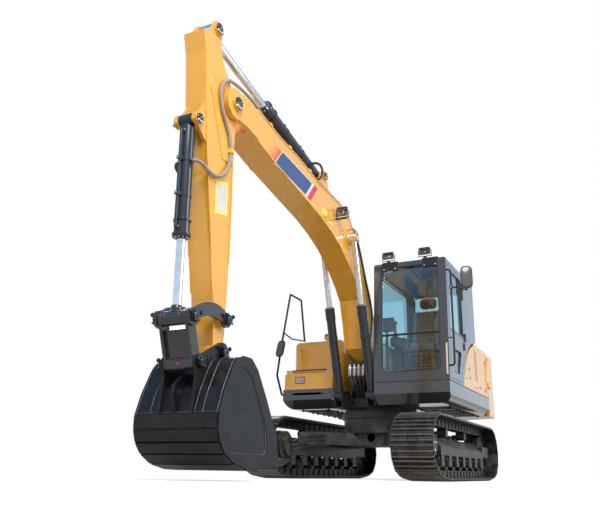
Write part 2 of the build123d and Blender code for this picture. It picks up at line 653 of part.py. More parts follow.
def toolbox_lid():
    x0, x1 = LID_PIN[0] + GAP, BOX_DECK_FRONT - 74
    lid = block(x0, x1, TANK_Y0 + 8, TANK_Y1 - 8, TOOLBOX_TOP - LID_PLATE + SIDE_CLEAR, TOOLBOX_TOP)
    return lid + level_knuckles(LID_PIN, LID_Y, 0, x0 + 35, TOOLBOX_TOP)


PANEL = 30.0
HOOD_DEPTH = 40.0
HOOD_FRONT = CAB_REAR - 20
HOOD_TOP = BODY_TOP + SIDE_CLEAR + HOOD_DEPTH
HOOD_PIN = (HOOD_FRONT + GAP, HOOD_TOP + HINGE_STAND)
HOOD_Y = (-1050.0, 40.0)
SLOT = 15.0                   # height of a louvre slot
SLANT = 34.0                  # its rise towards the front


def louvres(x0, x1, z0, z1, count, y0, y1):
    """Evenly spaced slots that rise towards the front."""
    step = (z1 - z0) / (count - 1)
    rows = [z0 + step * k for k in range(count)]
    return joined(plate_y([(x0, z), (x1, z + SLANT), (x1, z + SLANT + SLOT), (x0, z + SLOT)], y0, y1) for z in rows)


def engine_room():
    """Bulkheads and fixed covers round the engine, open under the hood and the side doors."""
    x0, x1 = DECK_REAR, CAB_REAR - 12
    inner = DECK_HALF - PANEL - SIDE_CLEAR
    x2 = TANK_X0 - 2
    y = CAB_Y0 - 60
    wall = block(x1 - PANEL, x1, y, inner, DECK_TOP, BODY_TOP)
    wall += block(x2 - PANEL, x2, -inner, y, DECK_TOP, BODY_TOP)
    wall += block(x1 - PANEL, x2, y, y + PANEL, DECK_TOP, BODY_TOP)
    wall += block(x1 - PANEL, x2, -inner, y, BODY_TOP - PANEL, BODY_TOP)
    wall += block(x0, x0 + PANEL, -inner, inner, DECK_TOP, BODY_TOP)
    return wall + level_knuckles(HOOD_PIN, HOOD_Y, FIXED, HOOD_PIN[0] + 34, BODY_TOP - 1)


def side_door(sign, x_front):
    y0, y1 = sorted((sign * DECK_HALF, sign * (DECK_HALF - PANEL)))
    door = block(DECK_REAR + GAP, x_front, y0, y1, DECK_TOP + GAP, BODY_TOP - 8)
    for x in (-1260, -1010, -760):
        door -= louvres(x - 90, x + 90, 1330, 1740, 12, y0 - 5, y1 + 5)
    return door + upright_knuckles(SIDE_DOOR_X, sign * DECK_HALF, SIDE_DOOR_Z, 0, DECK_REAR + 48)


def left_door():
    """Service door; its front edge follows the rounded rear of the cab."""
    y0, y1 = DECK_HALF - PANEL, DECK_HALF
    path = (
        Polyline((200 - GAP, 0, DECK_TOP + GAP), (DECK_REAR + GAP, 0, DECK_TOP + GAP), (DECK_REAR + GAP, 0, BODY_TOP - 8),
                 (CAB_REAR + 40, 0, BODY_TOP - 8))
        + ThreePointArc((CAB_REAR + 40, 0, BODY_TOP - 8), (-10, 0, 1555), (200 - GAP, 0, DECK_TOP + GAP))
    )
    door = prism_of(Face(Wire(path.edges())), y0, y1)
    door -= louvres(-670, -520, 1345, 1765, 13, y0 - 5, y1 + 5)
    # pressed recess behind the louvres
    recess = fillet(block(-1300, -1180, y1 - 14, y1 + 14, 1390, 1740).edges().filter_by(Axis.Y), 45)
    door -= recess
    return door + upright_knuckles(SIDE_DOOR_X, DECK_HALF, SIDE_DOOR_Z, 0, DECK_REAR + 48)


def engine_hood():
    """Lid over the engine with two rows of vents."""
    z0 = HOOD_TOP - HOOD_DEPTH
    hood = block(DECK_REAR + GAP, HOOD_FRONT, -DECK_HALF + PANEL + GAP, DECK_HALF - PANEL - GAP, z0, HOOD_TOP)
    hood = fillet([e for e in hood.edges() if e.center().Z > HOOD_TOP - 1], HOOD_DEPTH / 2)
    for x in (-1290, -1230, -1170, -1110):
        for y in (-480, 180):
            hood -= block(x, x + 22, y, y + 360, z0 - 5, HOOD_TOP + 5)
    return hood + level_knuckles(HOOD_PIN, HOOD_Y, 0, HOOD_FRONT - 45, HOOD_TOP - 1)


def engine():
    return block(-1250, -800, -560, 520, DECK_TOP, 1760)


def exhaust():
    z = HOOD_TOP
    pipe = tube([(-1000, -760, z), (-1000, -760, z + 190), (-1090, -760, z + 280)], 42, 60)
    return pipe


RAIL_R = 15.0
RAIL_Y = -DECK_HALF - 50.0


def handrails():
    """Right handrail loop from the toolbox deck over the tank, and the cab's grab rail."""
    y = RAIL_Y
    wall = -DECK_HALF
    front, top = BOX_DECK_FRONT, TANK_TOP
    loop = tube([(front - 57, wall, SKIRT_Z + 80), (front - 57, y, SKIRT_Z + 80), (front + 103, y, TOOLBOX_TOP - 80),
                 (front - 12, y, top - 100), (TANK_X1 + 70, y, top + 730), (TANK_X1 - 300, y, top + 720),
                 (TANK_X1 - 440, y, top + 90), (TANK_X1 - 450, y, top - 130), (TANK_X1 - 450, wall, top - 130)],
                RAIL_R, 22)
    brace = tube([(front - 72, y, top + 100), (TANK_X1, y, top + 50), (TANK_X1 - 438, y, top + 95)], RAIL_R * 0.7, 40)
    return apart([loop + brace])


def cab_rail():
    y = CAB_Y1 + 55
    top = CAB_TOP - 195
    return tube([(868, CAB_Y1, 1385), (868, y, 1385), (842, y, 1700), (836, y, top), (836, CAB_Y1, top)], 13, 35)


def mirrors():
    right = Pos(718, RAIL_Y, 1770) * Rotation(0, -14, 0) * Box(40, 130, 260)
    right += block(660.3, 718, RAIL_Y - 12, RAIL_Y + 12, 1755, 1785)
    y = CAB_Y1 + 245
    left = Pos(805, y + 10, 2520) * Rotation(0, 0, 20) * fillet(Box(40, 150, 300).edges().filter_by(Axis.X), 60)
    arm = tube([(870, CAB_Y1, 2280), (870, CAB_Y1 + 90, 2280), (805, y, 2290), (805, y, 2380)], 12, 30)
    return apart([right, left + arm])


def lamp(x, y, z):
    body = block(x - 35, x + 15, y - 60, y + 60, z, z + 85)
    return body + block(x - 20, x, y - 15, y + 15, z - 25, z)


def cab_lamps():
    return apart([lamp(770, CAB_Y0 + 195, CAB_TOP + 25), lamp(770, CAB_Y1 - 295, CAB_TOP + 25)])


def manifold():
    """Hose bulkhead in front of the boom's foot."""
    return block(400, 540, BOOM_Y - EAR_IN + 15, BOOM_Y + EAR_IN - 15, DECK_BOTTOM + 2 * DECK_PLATE, 1050)


# ---------------------------------------------------------------- boom
BOOM_LOW = [
    (3880, 3365), (3440, 3268), (2850, 3162), (2285, 3062), (1987, 2982), (1660, 2858),
    (1320, 2650), (1130, 2500), (955, 2330), (850, 2000), (780, 1690),
]
BOOM_HIGH = [
    (840, 2710), (975, 2955), (1258, 3257), (1431, 3384), (1668, 3441), (2291, 3475), (2846, 3569),
    (3344, 3617), (3754, 3690), (4130, 3700),
]


def boom_profile():
    fx, fz = BOOM_FOOT
    tx, tz = BOOM_TIP
    low = [(tx - 190, tz - 140)] + BOOM_LOW + [(fx + 170, fz - 60), (fx + 60, fz - 110), (fx - 70, fz - 100)]
    high = [(fx - 120, fz), (fx - 95, fz + 100), (fx + 30, fz + 350)] + BOOM_HIGH + [(tx - 60, tz + 180)]
    return low, high


FORK_IN = ARM_HALF + 14 + SIDE_CLEAR
FORK_PLATE = BOOM_HALF + 30 - FORK_IN


def boom():
    """Welded box from the foot to the fork, with the fork's cheeks outside the arm."""
    low, high = boom_profile()
    tx, tz = BOOM_TIP
    skin = face_xz(low + high)
    box = prism_of(skin, BOOM_Y - BOOM_HALF, BOOM_Y + BOOM_HALF)
    inner_face = offset(skin, -BOOM_PLATE, kind=Kind.INTERSECTION)
    hollow = prism_of(inner_face, BOOM_Y - BOOM_HALF + BOOM_PLATE, BOOM_Y + BOOM_HALF - BOOM_PLATE)
    body = box - hollow
    # the arm turns in this slot
    slot = disc_y(BOOM_TIP, 330, BOOM_Y - FORK_IN, BOOM_Y + FORK_IN)
    throat = [(tx - 150, tz + 240), (tx - 480, tz + 240), (tx - 440, tz + 160), (tx - 250, tz + 30)]
    body -= slot + plate_y(throat, BOOM_Y - FORK_IN, BOOM_Y + FORK_IN)
    body += block(tx - 440, tx - 415, BOOM_Y - BOOM_HALF + 2, BOOM_Y + BOOM_HALF - 2, tz - 165, tz + 130)
    for sign in (-1, 1):
        y0, y1 = sorted((BOOM_Y + sign * FORK_IN, BOOM_Y + sign * (FORK_IN + FORK_PLATE)))
        cheek = [(tx - 440, tz - 180), (tx - 190, tz - 145), (tx + 60, tz - 150), (tx + 60, tz + 120), (tx - 160, tz + 170), (tx - 440, tz + 130)]
        body += plate_y(cheek, y0, y1) + disc_y(BOOM_TIP, 160, y0, y1)
        y0, y1 = sorted((BOOM_Y + sign * (FORK_IN + FORK_PLATE), BOOM_Y + sign * (FORK_IN + FORK_PLATE + 22)))
        body += disc_y(BOOM_TIP, 78, y0, y1)
        # pads for the boom cylinders' eyes
        y0, y1 = sorted((BOOM_Y + sign * BOOM_HALF, BOOM_Y + sign * (CYL_OFFSET - CYL_EYE - SIDE_CLEAR)))
        body += disc_y(BOOM_CYL_EYE, 95, y0, y1)
        y0, y1 = sorted((BOOM_Y + sign * BOOM_HALF, BOOM_Y + sign * (BOOM_HALF + DOUBLER)))
        body += disc_y(BOOM_CYL_EYE, 150, y0, y1)
    # ears for the arm cylinder's foot
    ax, az = ARM_CYL_FOOT
    for sign in (-1, 1):
        y0, y1 = sorted((BOOM_Y + sign * ARM_CYL_EAR, BOOM_Y + sign * (ARM_CYL_EAR + EAR_PLATE)))
        ear = [(ax - 190, az - 330), (ax + 250, az - 270), (ax + 70, az + 40), (ax + 20, az + 75), (ax - 50, az + 60), (ax - 85, az)]
        body += plate_y(ear, y0, y1)
        y0, y1 = sorted((BOOM_Y + sign * (ARM_CYL_EAR + EAR_PLATE), BOOM_Y + sign * (ARM_CYL_EAR + EAR_PLATE + BOSS)))
        body += disc_y(ARM_CYL_FOOT, 58, y0, y1)
    return body + pipe_pads()


DOUBLER = 8.0                 # plates welded on the sides round the pins
BOSS = 18.0                   # how far the pins' collars stand off their ears
EAR_PLATE = 32.0
ARM_CYL_EAR = 82.0            # inner face of the ears on boom and arm, from the boom's plane
BUCKET_CYL_EAR = 74.0
ARM_CYL_FOOT = (2080.0, 3690.0)
ARM_CYL_EYE = (4587.0, 4220.0)
BUCKET_CYL_FOOT = (4795.0, 3130.0)


def boom_lamp():
    """Work lamp on a bracket at the boom's left side, facing forward."""
    y = BOOM_Y + BOOM_HALF
    housing = block(1765, 1835, y + 22, y + 172, 3215, 3335)
    housing = fillet(housing.edges().filter_by(Axis.X), 22)
    return housing + block(1785, 1815, y, y + 120, 3190, 3216)


PIPE_R = 17.0
PIPE_Y = 134.0                # hard lines on the boom's back, from the boom's plane
PIPE_RISE = 30.0              # their centres over the top plate


def boom_pipes():
    """Hard lines on the boom's back, beside the arm cylinder."""
    pipes = []
    line = [(x - 8, z + PIPE_RISE) for x, z in BOOM_HIGH[2:-1]]
    for y in (-PIPE_Y, PIPE_Y):
        pipes.append(tube([(x, BOOM_Y + y, z) for x, z in line], PIPE_R, 60))
    return apart(pipes)


def pipe_pads():
    """Saddles welded on the boom's back, under the hard lines."""
    pads = []
    for a, b in zip(BOOM_HIGH[2:-1], BOOM_HIGH[3:-1]):
        mid = ((a[0] + b[0]) / 2, (a[1] + b[1]) / 2)
        run = hypot(b[0] - a[0], b[1] - a[1])
        tx, tz = (b[0] - a[0]) / run, (b[1] - a[1]) / run
        # the line's height over the plate, square to it
        rise = PIPE_RISE * tx + 8 * tz - PIPE_R - SIDE_CLEAR
        outline = []
        for along_run, out in ((-25, -6), (25, -6), (25, rise), (-25, rise)):
            outline.append((mid[0] + tx * along_run - tz * out, mid[1] + tz * along_run + tx * out))
        for y in (-PIPE_Y, PIPE_Y):
            pads.append(plate_y(outline, BOOM_Y + y - 22, BOOM_Y + y + 22))
    return joined(pads)


# ---------------------------------------------------------------- arm
def arm():
    px, pz = BOOM_TIP
    bx, bz = BUCKET_PIN
    front = [(4343, 1130), (4412, 1519), (4564, 2415), (4642, 2879), (4707, 3363), (4759, 3871), (4813, 4079)]
    rear = [(4686, 4120), (4542, 4123), (4471, 3939), (4386, 3807), (4300, 3690), (4180, 3560), (4180, 3430), (4213, 3077),
            (4204, 2552), (4196, 2050), (4204, 1567), (4210, 1300), (4225, 1100), (bx - 20, bz - 70)]
    skin = face_xz([(bx + 70, bz + 40)] + front[1:] + rear)
    box = prism_of(skin, BOOM_Y - ARM_HALF, BOOM_Y + ARM_HALF)
    inner = offset(skin, -ARM_PLATE, kind=Kind.INTERSECTION)
    body = box - prism_of(inner, BOOM_Y - ARM_HALF + ARM_PLATE, BOOM_Y + ARM_HALF - ARM_PLATE)
    body += disc_y(BOOM_TIP, 118, BOOM_Y - FORK_IN + SIDE_CLEAR, BOOM_Y + FORK_IN - SIDE_CLEAR)
    body += disc_y(BUCKET_PIN, ARM_FOOT_R, BOOM_Y - HINGE_IN + SIDE_CLEAR, BOOM_Y + HINGE_IN - SIDE_CLEAR)
    body += disc_y(LINK_PIN, 62, BOOM_Y - ROCKER_IN + SIDE_CLEAR, BOOM_Y + ROCKER_IN - SIDE_CLEAR)
    ex, ez = ARM_CYL_EYE
    cx, cz = BUCKET_CYL_FOOT
    for sign in (-1, 1):
        y0, y1 = sorted((BOOM_Y + sign * ARM_CYL_EAR, BOOM_Y + sign * (ARM_CYL_EAR + EAR_PLATE)))
        horn = [(4700, 4070), (4640, ez + 60), (ex + 20, ez + 82), (ex - 60, ez + 60), (ex - 80, ez - 20), (4500, 3900)]
        body += plate_y(horn, y0, y1)
        y0, y1 = sorted((BOOM_Y + sign * BUCKET_CYL_EAR, BOOM_Y + sign * (BUCKET_CYL_EAR + EAR_PLATE)))
        ear = [(4590, cz - 230), (cx - 20, cz - 70), (cx + 60, cz - 30), (cx + 55, cz + 40), (cx - 10, cz + 70), (4640, cz + 330)]
        body += plate_y(ear, y0, y1)
        y0, y1 = sorted((BOOM_Y + sign * (ARM_CYL_EAR + EAR_PLATE), BOOM_Y + sign * (ARM_CYL_EAR + EAR_PLATE + BOSS)))
        body += disc_y(ARM_CYL_EYE, 72, y0, y1)
        y0, y1 = sorted((BOOM_Y + sign * (BUCKET_CYL_EAR + EAR_PLATE), BOOM_Y + sign * (BUCKET_CYL_EAR + EAR_PLATE + BOSS)))
        body += disc_y(BUCKET_CYL_FOOT, 58, y0, y1)
        # doubler round the pivot, inside the fork's cheeks
        y0, y1 = sorted((BOOM_Y + sign * ARM_HALF, BOOM_Y + sign * (ARM_HALF + DOUBLER)))
        plate = disc_y((px + 130, pz + 60), 235, y0, y1)
        plate += plate_y([(4215, 2900), (4400, 2900), (4650, 3560), (4200, 3560)], y0, y1)
        body += plate & prism_of(skin, y0, y1)
    pocket = [(4300, 3960), (4555, 3975), (4620, 4008), (4660, 4068), (4676, 4150), (4720, 4200), (4720, 4400),
              (4300, 4400)]
    lining = offset(face_xz(pocket), ARM_PLATE, kind=Kind.INTERSECTION)
    y0, y1 = BOOM_Y - ARM_CYL_EAR, BOOM_Y + ARM_CYL_EAR
    body += prism_of(lining, y0, y1) & box
    return body - plate_y(pocket, y0, y1)


ARM_FOOT_R = 92.0
HINGE_IN = 150.0
HINGE_PLATE = 32.0
ROCKER_IN = 150.0
ROCKER_PLATE = 34.0


# ---------------------------------------------------------------- bucket and its linkage
def bar_outline(a, b, width_a, width_b):
    """Straight flank lines of a link between two bosses."""
    dx, dz = b[0] - a[0], b[1] - a[1]
    span = hypot(dx, dz)
    nx, nz = -dz / span, dx / span
    return [
        (a[0] + nx * width_a, a[1] + nz * width_a), (b[0] + nx * width_b, b[1] + nz * width_b),
        (b[0] - nx * width_b, b[1] - nz * width_b), (a[0] - nx * width_a, a[1] - nz * width_a),
    ]


def bucket_rocker():
    """Pair of guide links, one each side of the arm, with the pin through the rod's eye."""
    pieces = []
    (x0, z0), (x1, z1) = LINK_PIN, JOINT_PIN
    face = Face(Wire((
        ThreePointArc((x0, 0, z0 + 52), ((x0 + x1) / 2 + 30, 0, 1463), (x1, 0, z1 + 60))
        + Line((x1, 0, z1 + 60), (x1, 0, z1 - 60))
        + ThreePointArc((x1, 0, z1 - 60), ((x0 + x1) / 2 + 15, 0, 1345), (x0, 0, z0 - 52))
        + Line((x0, 0, z0 - 52), (x0, 0, z0 + 52))
    ).edges()))
    for sign in (-1, 1):
        y0, y1 = sorted((BOOM_Y + sign * ROCKER_IN, BOOM_Y + sign * (ROCKER_IN + ROCKER_PLATE)))
        link = prism_of(face, y0, y1)
        link += disc_y(LINK_PIN, 68, y0, y1) + disc_y(JOINT_PIN, 78, y0, y1)
        y0, y1 = sorted((BOOM_Y + sign * (ROCKER_IN + ROCKER_PLATE), BOOM_Y + sign * (ROCKER_IN + ROCKER_PLATE + 20)))
        link += disc_y(LINK_PIN, 48, y0, y1) + disc_y(JOINT_PIN, 48, y0, y1)
        pieces.append(link)
    return apart(pieces)


LINK_IN = ARM_HALF + 3.0        # the cheeks pass outside the arm
LINK_OUT = ROCKER_IN - SIDE_CLEAR


def bucket_link():
    """H-shaped link: two cheeks at the top, a web, and one boss between the bucket's hinge plates."""
    body = disc_y(TIP_LINK_PIN, 62, BOOM_Y - HINGE_IN + SIDE_CLEAR, BOOM_Y + HINGE_IN - SIDE_CLEAR)
    for sign in (-1, 1):
        y0, y1 = sorted((BOOM_Y + sign * LINK_IN, BOOM_Y + sign * LINK_OUT))
        body += plate_y(bar_outline(JOINT_PIN, TIP_LINK_PIN, 52, 52), y0, y1) + disc_y(JOINT_PIN, 66, y0, y1)
    top = along(JOINT_PIN, TIP_LINK_PIN, 160)
    low = along(JOINT_PIN, TIP_LINK_PIN, 335)
    return body + plate_y(bar_outline(top, low, 24, 24), BOOM_Y - LINK_IN, BOOM_Y + LINK_IN)


LIP_X = 3700.0
# XZ outline of the bucket's shell from the hinge round the back to the lip
BUCKET_BACK = [
    (4216, 1012), (4370, 1016), (4470, 975), (4530, 880), (4625, 700), (4690, 520), (4690, 400), (4655, 300),
    (4580, 215), (4440, 140), (4250, 102), (4030, 96), (LIP_X, 128),
]


BUCKET_BEND = 190.0
BUCKET_FRONT = [(LIP_X, 190), (3740, 400), (3835, 530), (3935, 690), (4107, 930)]
# the sides' inner field, which the wear plate leaves free
BUCKET_FIELD = [
    (4330, 930), (4440, 860), (4590, 620), (4650, 480), (4640, 400), (4560, 260), (4480, 215), (3960, 215),
    (3925, 260), (3925, 420), (4030, 620), (4200, 860),
]
STRIP_COUNT = 6               # wear strips across the lower back
STRIP_PLATE = 14.0
SIDE_PLATE = 10.0


def bucket_outline():
    """XZ face of the bucket: the back is bent plate, the front is straight cuts."""
    back = FilletPolyline(*[(x, 0, z) for x, z in BUCKET_BACK], radius=BUCKET_BEND)
    front = Polyline(*[(x, 0, z) for x, z in [BUCKET_BACK[-1], *BUCKET_FRONT, BUCKET_BACK[0]]])
    return Face(Wire(back.edges() + front.edges()))


def wear_strips(y0, y1):
    """Flat strips over the last bends of the back, with a groove between each two."""
    strips = []
    low = BUCKET_BACK[-2 - STRIP_COUNT:-1]
    for a, b in zip(low, low[1:]):
        run = hypot(b[0] - a[0], b[1] - a[1])
        tx, tz = (b[0] - a[0]) / run, (b[1] - a[1]) / run
        outline = []
        for share, out in ((0.05, -8), (0.95, -8), (0.95, STRIP_PLATE), (0.05, STRIP_PLATE)):
            outline.append((a[0] + tx * run * share - tz * out, a[1] + tz * run * share + tx * out))
        strips.append(plate_y(outline, y0, y1))
    return joined(strips)


def bucket():
    """Plate shell with two sides, the lip and the two hinge plates."""
    t = BUCKET_PLATE
    y0, y1 = BOOM_Y - BUCKET_HALF, BOOM_Y + BUCKET_HALF
    outline = bucket_outline()
    inner = offset(outline, -t, kind=Kind.INTERSECTION)
    mouth = [(3600, 147), (3650, 420), (3760, 560), (3860, 720), (4020, 985), (4140, 990), (4190, 950),
             (3950, 600), (3780, 147)]
    body = prism_of(outline, y0, y1) - prism_of(inner, y0 + t, y1 - t) - plate_y(mouth, y0 + t, y1 - t)
    body += wear_strips(y0, y1)
    for a, b in ((y0 - SIDE_PLATE, y0), (y1, y1 + SIDE_PLATE)):
        body += prism_of(outline, a, b) - plate_y(BUCKET_FIELD, a, b)
    # lifting lug between the hinge plates
    lug = [(4560, 780), (4640, 830), (4735, 750), (4758, 650), (4715, 540), (4650, 520)]
    body += plate_y(lug, BOOM_Y - 18, BOOM_Y + 18) - disc_y((4688, 700), 36, BOOM_Y - 20, BOOM_Y + 20)
    bx, bz = BUCKET_PIN
    # the arm's foot turns in this notch between the hinge plates, over a round cradle
    n0, n1 = BOOM_Y - HINGE_IN, BOOM_Y + HINGE_IN
    reach = ARM_FOOT_R + 10
    body -= block(bx - 400, bx, n0, n1, bz - ARM_HALF, bz + 200) + disc_y(BUCKET_PIN, reach, n0, n1)
    front = [(bx, bz - 75), (bx + 90, bz - 75), (bx + 260, bz - 20), (bx + 260, bz + 100), (bx, bz + 100)]
    body -= plate_y(front, n0, n1)
    cradle = disc_y(BUCKET_PIN, reach + t, n0, n1) - disc_y(BUCKET_PIN, reach, n0, n1)
    body += cradle & block(bx, bx + reach + t, n0, n1, bz - reach - t, bz - 76)
    kx, kz = TIP_LINK_PIN
    for sign in (-1, 1):
        a, b = sorted((BOOM_Y + sign * HINGE_IN, BOOM_Y + sign * (HINGE_IN + HINGE_PLATE)))
        ear = [(bx - 60, bz - 60), (bx - 40, bz + 70), (bx + 40, bz + 85), (kx - 40, kz + 80), (kx + 60, kz + 30),
               (kx + 30, kz - 120), (4710, 520), (4660, 400), (4560, 700), (4480, 880), (4400, 980)]
        body += plate_y(ear, a, b) + disc_y(BUCKET_PIN, 88, a, b) + disc_y(TIP_LINK_PIN, 66, a, b)
        a, b = sorted((BOOM_Y + sign * (HINGE_IN + HINGE_PLATE), BOOM_Y + sign * (HINGE_IN + HINGE_PLATE + 24)))
        body += disc_y(BUCKET_PIN, 52, a, b) + disc_y(TIP_LINK_PIN, 46, a, b)
    return body


TOOTH_COUNT = 5


def bucket_teeth():
    """Wedge teeth on the lip, evenly spaced."""
    teeth = []
    pitch = (2 * BUCKET_HALF - 110) / (TOOTH_COUNT - 1)
    wedge = [(3410, 176), (3420, 190), (3560, 200), (LIP_X, 190), (LIP_X, 118), (3560, 128)]
    for i in range(TOOTH_COUNT):
        y = BOOM_Y - BUCKET_HALF + 55 + i * pitch
        teeth.append(plate_y(wedge, y - 36, y + 36))
    return teeth


# ---------------------------------------------------------------- hydraulic cylinders
def cylinder_pair(foot, eye, y, gland, hidden, barrel_r, rod_r, eye_r, foot_half, eye_half):
    """Barrel with its foot eye and gland, and rod with its own eye; the bore clears the rod's whole stroke."""
    bore = rod_r + SIDE_CLEAR * 2
    head = along(foot, eye, gland)
    shoulder = along(foot, eye, gland - 150)
    base = along(foot, eye, eye_r + 10)
    floor = along(foot, eye, eye_r + 50)
    inner = along(foot, eye, hidden)
    neck = along(eye, foot, eye_r * 0.6)

    def at(p):
        return (p[0], y, p[1])

    barrel = rod_between(at(base), at(head), barrel_r) + rod_between(at(shoulder), at(head), barrel_r * 1.1)
    barrel += rod_between(at(foot), at(floor), eye_r * 0.7)
    barrel += disc_y(foot, eye_r, y - foot_half, y + foot_half)
    far = along(foot, eye, gland + 20)
    barrel -= rod_between(at(floor), at(far), bore)
    rod = rod_between(at(inner), at(neck), rod_r) + disc_y(eye, eye_r, y - eye_half, y + eye_half)
    return barrel, rod


# ---------------------------------------------------------------- build and write
nodes = {}
for name, sign in (("left", 1), ("right", -1)):
    y = sign * TRACK_GAUGE / 2
    nodes[f"track_{name}"] = track(y)
    nodes[f"track_frame_{name}"] = track_frame(y, -sign)

side_ys = [(1, TRACK_GAUGE / 2), (-1, -TRACK_GAUGE / 2)]
bottom_xs = [(i - (ROLLER_COUNT - 1) / 2) * ROLLER_PITCH for i in range(ROLLER_COUNT)]
nodes["bottom_rollers"] = apart(roller(x, ROLLER_Z, ROLLER_R, y, 95, YOKE_IN) for _, y in side_ys for x in bottom_xs)
nodes["carrier_rollers"] = apart(
    disc_y((x, CARRIER_Z), CARRIER_R, y - 60, y + 60)
    + disc_y((x, CARRIER_Z), 20, *sorted((y, y - s * (CHAIN_WIDTH / 2 + 10))))
    for s, y in side_ys for x in CARRIER_X)
nodes["idlers"] = apart(roller(IDLER_X, WHEEL_Z, WHEEL_R, y, WHEEL_WIDTH / 2, YOKE_IN) for _, y in side_ys)
nodes["sprockets"] = apart(sprocket(y, -s) for s, y in side_ys)
nodes["centre_frame"] = centre_frame()
nodes["slewing_ring"] = slewing_ring()

nodes["revolving_frame"] = revolving_frame()
nodes["deck_left"] = deck_skirt(1, CAB_DECK_FRONT, CAB_Y0 + 8)
nodes["deck_right"] = deck_skirt(-1, BOX_DECK_FRONT, TANK_Y1 + 20) - deck_slot()
nodes["counterweight"] = counterweight()
nodes["cab_body"] = cab_body()
nodes["cab_roof"] = cab_roof()
nodes["windscreen"] = windscreen()
nodes["screen_bar"] = screen_bar()
nodes["cab_side_glass"] = cab_side_glass()
nodes["cab_door"] = cab_door()
nodes["door_glass"] = door_glass()
nodes["seat"] = seat()
nodes["cab_controls"] = cab_controls()
nodes["fuel_tank"] = fuel_tank()
nodes["toolbox"] = toolbox()
nodes["toolbox_lid"] = toolbox_lid()
nodes["engine_room"] = engine_room()
nodes["left_side_door"] = left_door()
nodes["right_side_door"] = side_door(-1, TANK_X0 - GAP)
nodes["engine_hood"] = engine_hood()
nodes["engine"] = engine()
nodes["exhaust"] = exhaust()
nodes["handrails"] = handrails()
nodes["cab_rail"] = cab_rail()
nodes["mirrors"] = mirrors()
nodes["cab_lamps"] = cab_lamps()
nodes["manifold"] = manifold()
nodes["boom"] = boom()
nodes["boom_lamp"] = boom_lamp()
nodes["boom_pipes"] = boom_pipes()
nodes["arm"] = arm()
nodes["bucket_rocker"] = bucket_rocker()
nodes["bucket_link"] = bucket_link()
nodes["bucket"] = bucket()
nodes["bucket_teeth"] = apart(bucket_teeth())

# columns: name, foot pin, rod pin, offsets in Y, then in order: gland and hidden rod end, both from the
# foot, radii of barrel, rod and eyes, half widths of the foot's eye and the rod's eye
cylinders = [
    ("boom_cylinder", BOOM_CYL_FOOT, BOOM_CYL_EYE, (-CYL_OFFSET, CYL_OFFSET), 1184, 800, 60, 38, 62,
     CYL_EYE, CYL_EYE),
    ("arm_cylinder", ARM_CYL_FOOT, ARM_CYL_EYE, (0.0,), 1410, 1135, 74, 42, 66,
     ARM_CYL_EAR - SIDE_CLEAR, ARM_CYL_EAR - SIDE_CLEAR),
    ("bucket_cylinder", BUCKET_CYL_FOOT, JOINT_PIN, (0.0,), 1130, 560, 64, 38, 62,
     BUCKET_CYL_EAR - SIDE_CLEAR, LINK_IN - SIDE_CLEAR),
]
for name, foot, eye, offsets, *sizes in cylinders:
    pairs = [cylinder_pair(foot, eye, BOOM_Y + dy, *sizes) for dy in offsets]
    nodes[f"{name}_barrel"] = apart(p[0] for p in pairs)
    nodes[f"{name}_rod"] = apart(p[1] for p in pairs)

for name, shape in nodes.items():
    export_step(shape, f"parts/{name}.step")
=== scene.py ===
"""Looks of a crawler excavator: finishes, fasteners, shoes, hoses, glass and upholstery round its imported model."""

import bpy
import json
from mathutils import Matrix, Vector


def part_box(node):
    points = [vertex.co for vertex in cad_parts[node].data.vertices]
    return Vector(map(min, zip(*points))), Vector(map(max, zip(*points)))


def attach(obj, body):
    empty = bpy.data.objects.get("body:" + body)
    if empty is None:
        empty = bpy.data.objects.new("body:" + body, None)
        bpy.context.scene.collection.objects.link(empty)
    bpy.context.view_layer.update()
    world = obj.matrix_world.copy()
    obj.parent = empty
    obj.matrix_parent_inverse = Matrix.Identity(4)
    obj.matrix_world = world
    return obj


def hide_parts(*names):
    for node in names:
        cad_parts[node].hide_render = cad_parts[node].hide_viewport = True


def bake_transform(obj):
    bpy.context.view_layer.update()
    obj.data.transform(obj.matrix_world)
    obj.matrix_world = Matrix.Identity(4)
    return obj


bl_info = {
    "name": "Crawler Excavator Dressing",
    "version": (1, 0, 0),
    "blender": (4, 5, 0),
    "location": "View3D > Sidebar > Excavator",
    "description": "Dresses the packed model of a crawler excavator with its finishes and small pieces",
    "category": "Object",
}

import json
from math import cos, pi, radians, sin

import bmesh
import bpy
import numpy as np
from bpy.props import FloatProperty, FloatVectorProperty, IntProperty, PointerProperty
from bpy.types import Operator, Panel, PropertyGroup
from mathutils import Matrix

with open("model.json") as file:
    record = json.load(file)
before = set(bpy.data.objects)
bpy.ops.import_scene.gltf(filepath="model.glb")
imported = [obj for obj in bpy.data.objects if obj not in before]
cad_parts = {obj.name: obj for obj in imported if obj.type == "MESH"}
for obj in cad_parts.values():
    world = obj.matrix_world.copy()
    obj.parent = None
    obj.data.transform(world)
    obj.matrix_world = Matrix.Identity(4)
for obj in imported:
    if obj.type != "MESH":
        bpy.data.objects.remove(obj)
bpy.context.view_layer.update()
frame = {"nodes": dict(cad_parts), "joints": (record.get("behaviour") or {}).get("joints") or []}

NODES = frame["nodes"]
PIN = {joint["name"]: np.array(joint["pos_m"]) for joint in frame["joints"] if "pos_m" in joint}
BOOM_Y = float(PIN["boom_lift"][1])  # the working equipment's own centre plane
# edges that turn by more stay sharp under smooth shading, or are rounded by a bevel
SHARP_TURN, BEVEL_TURN = radians(38), radians(35)


# ---------------------------------------------------------------- shapes
# A shape is a pair: points as an (n, 3) array, faces as a list of index tuples that run anticlockwise
# seen from outside.


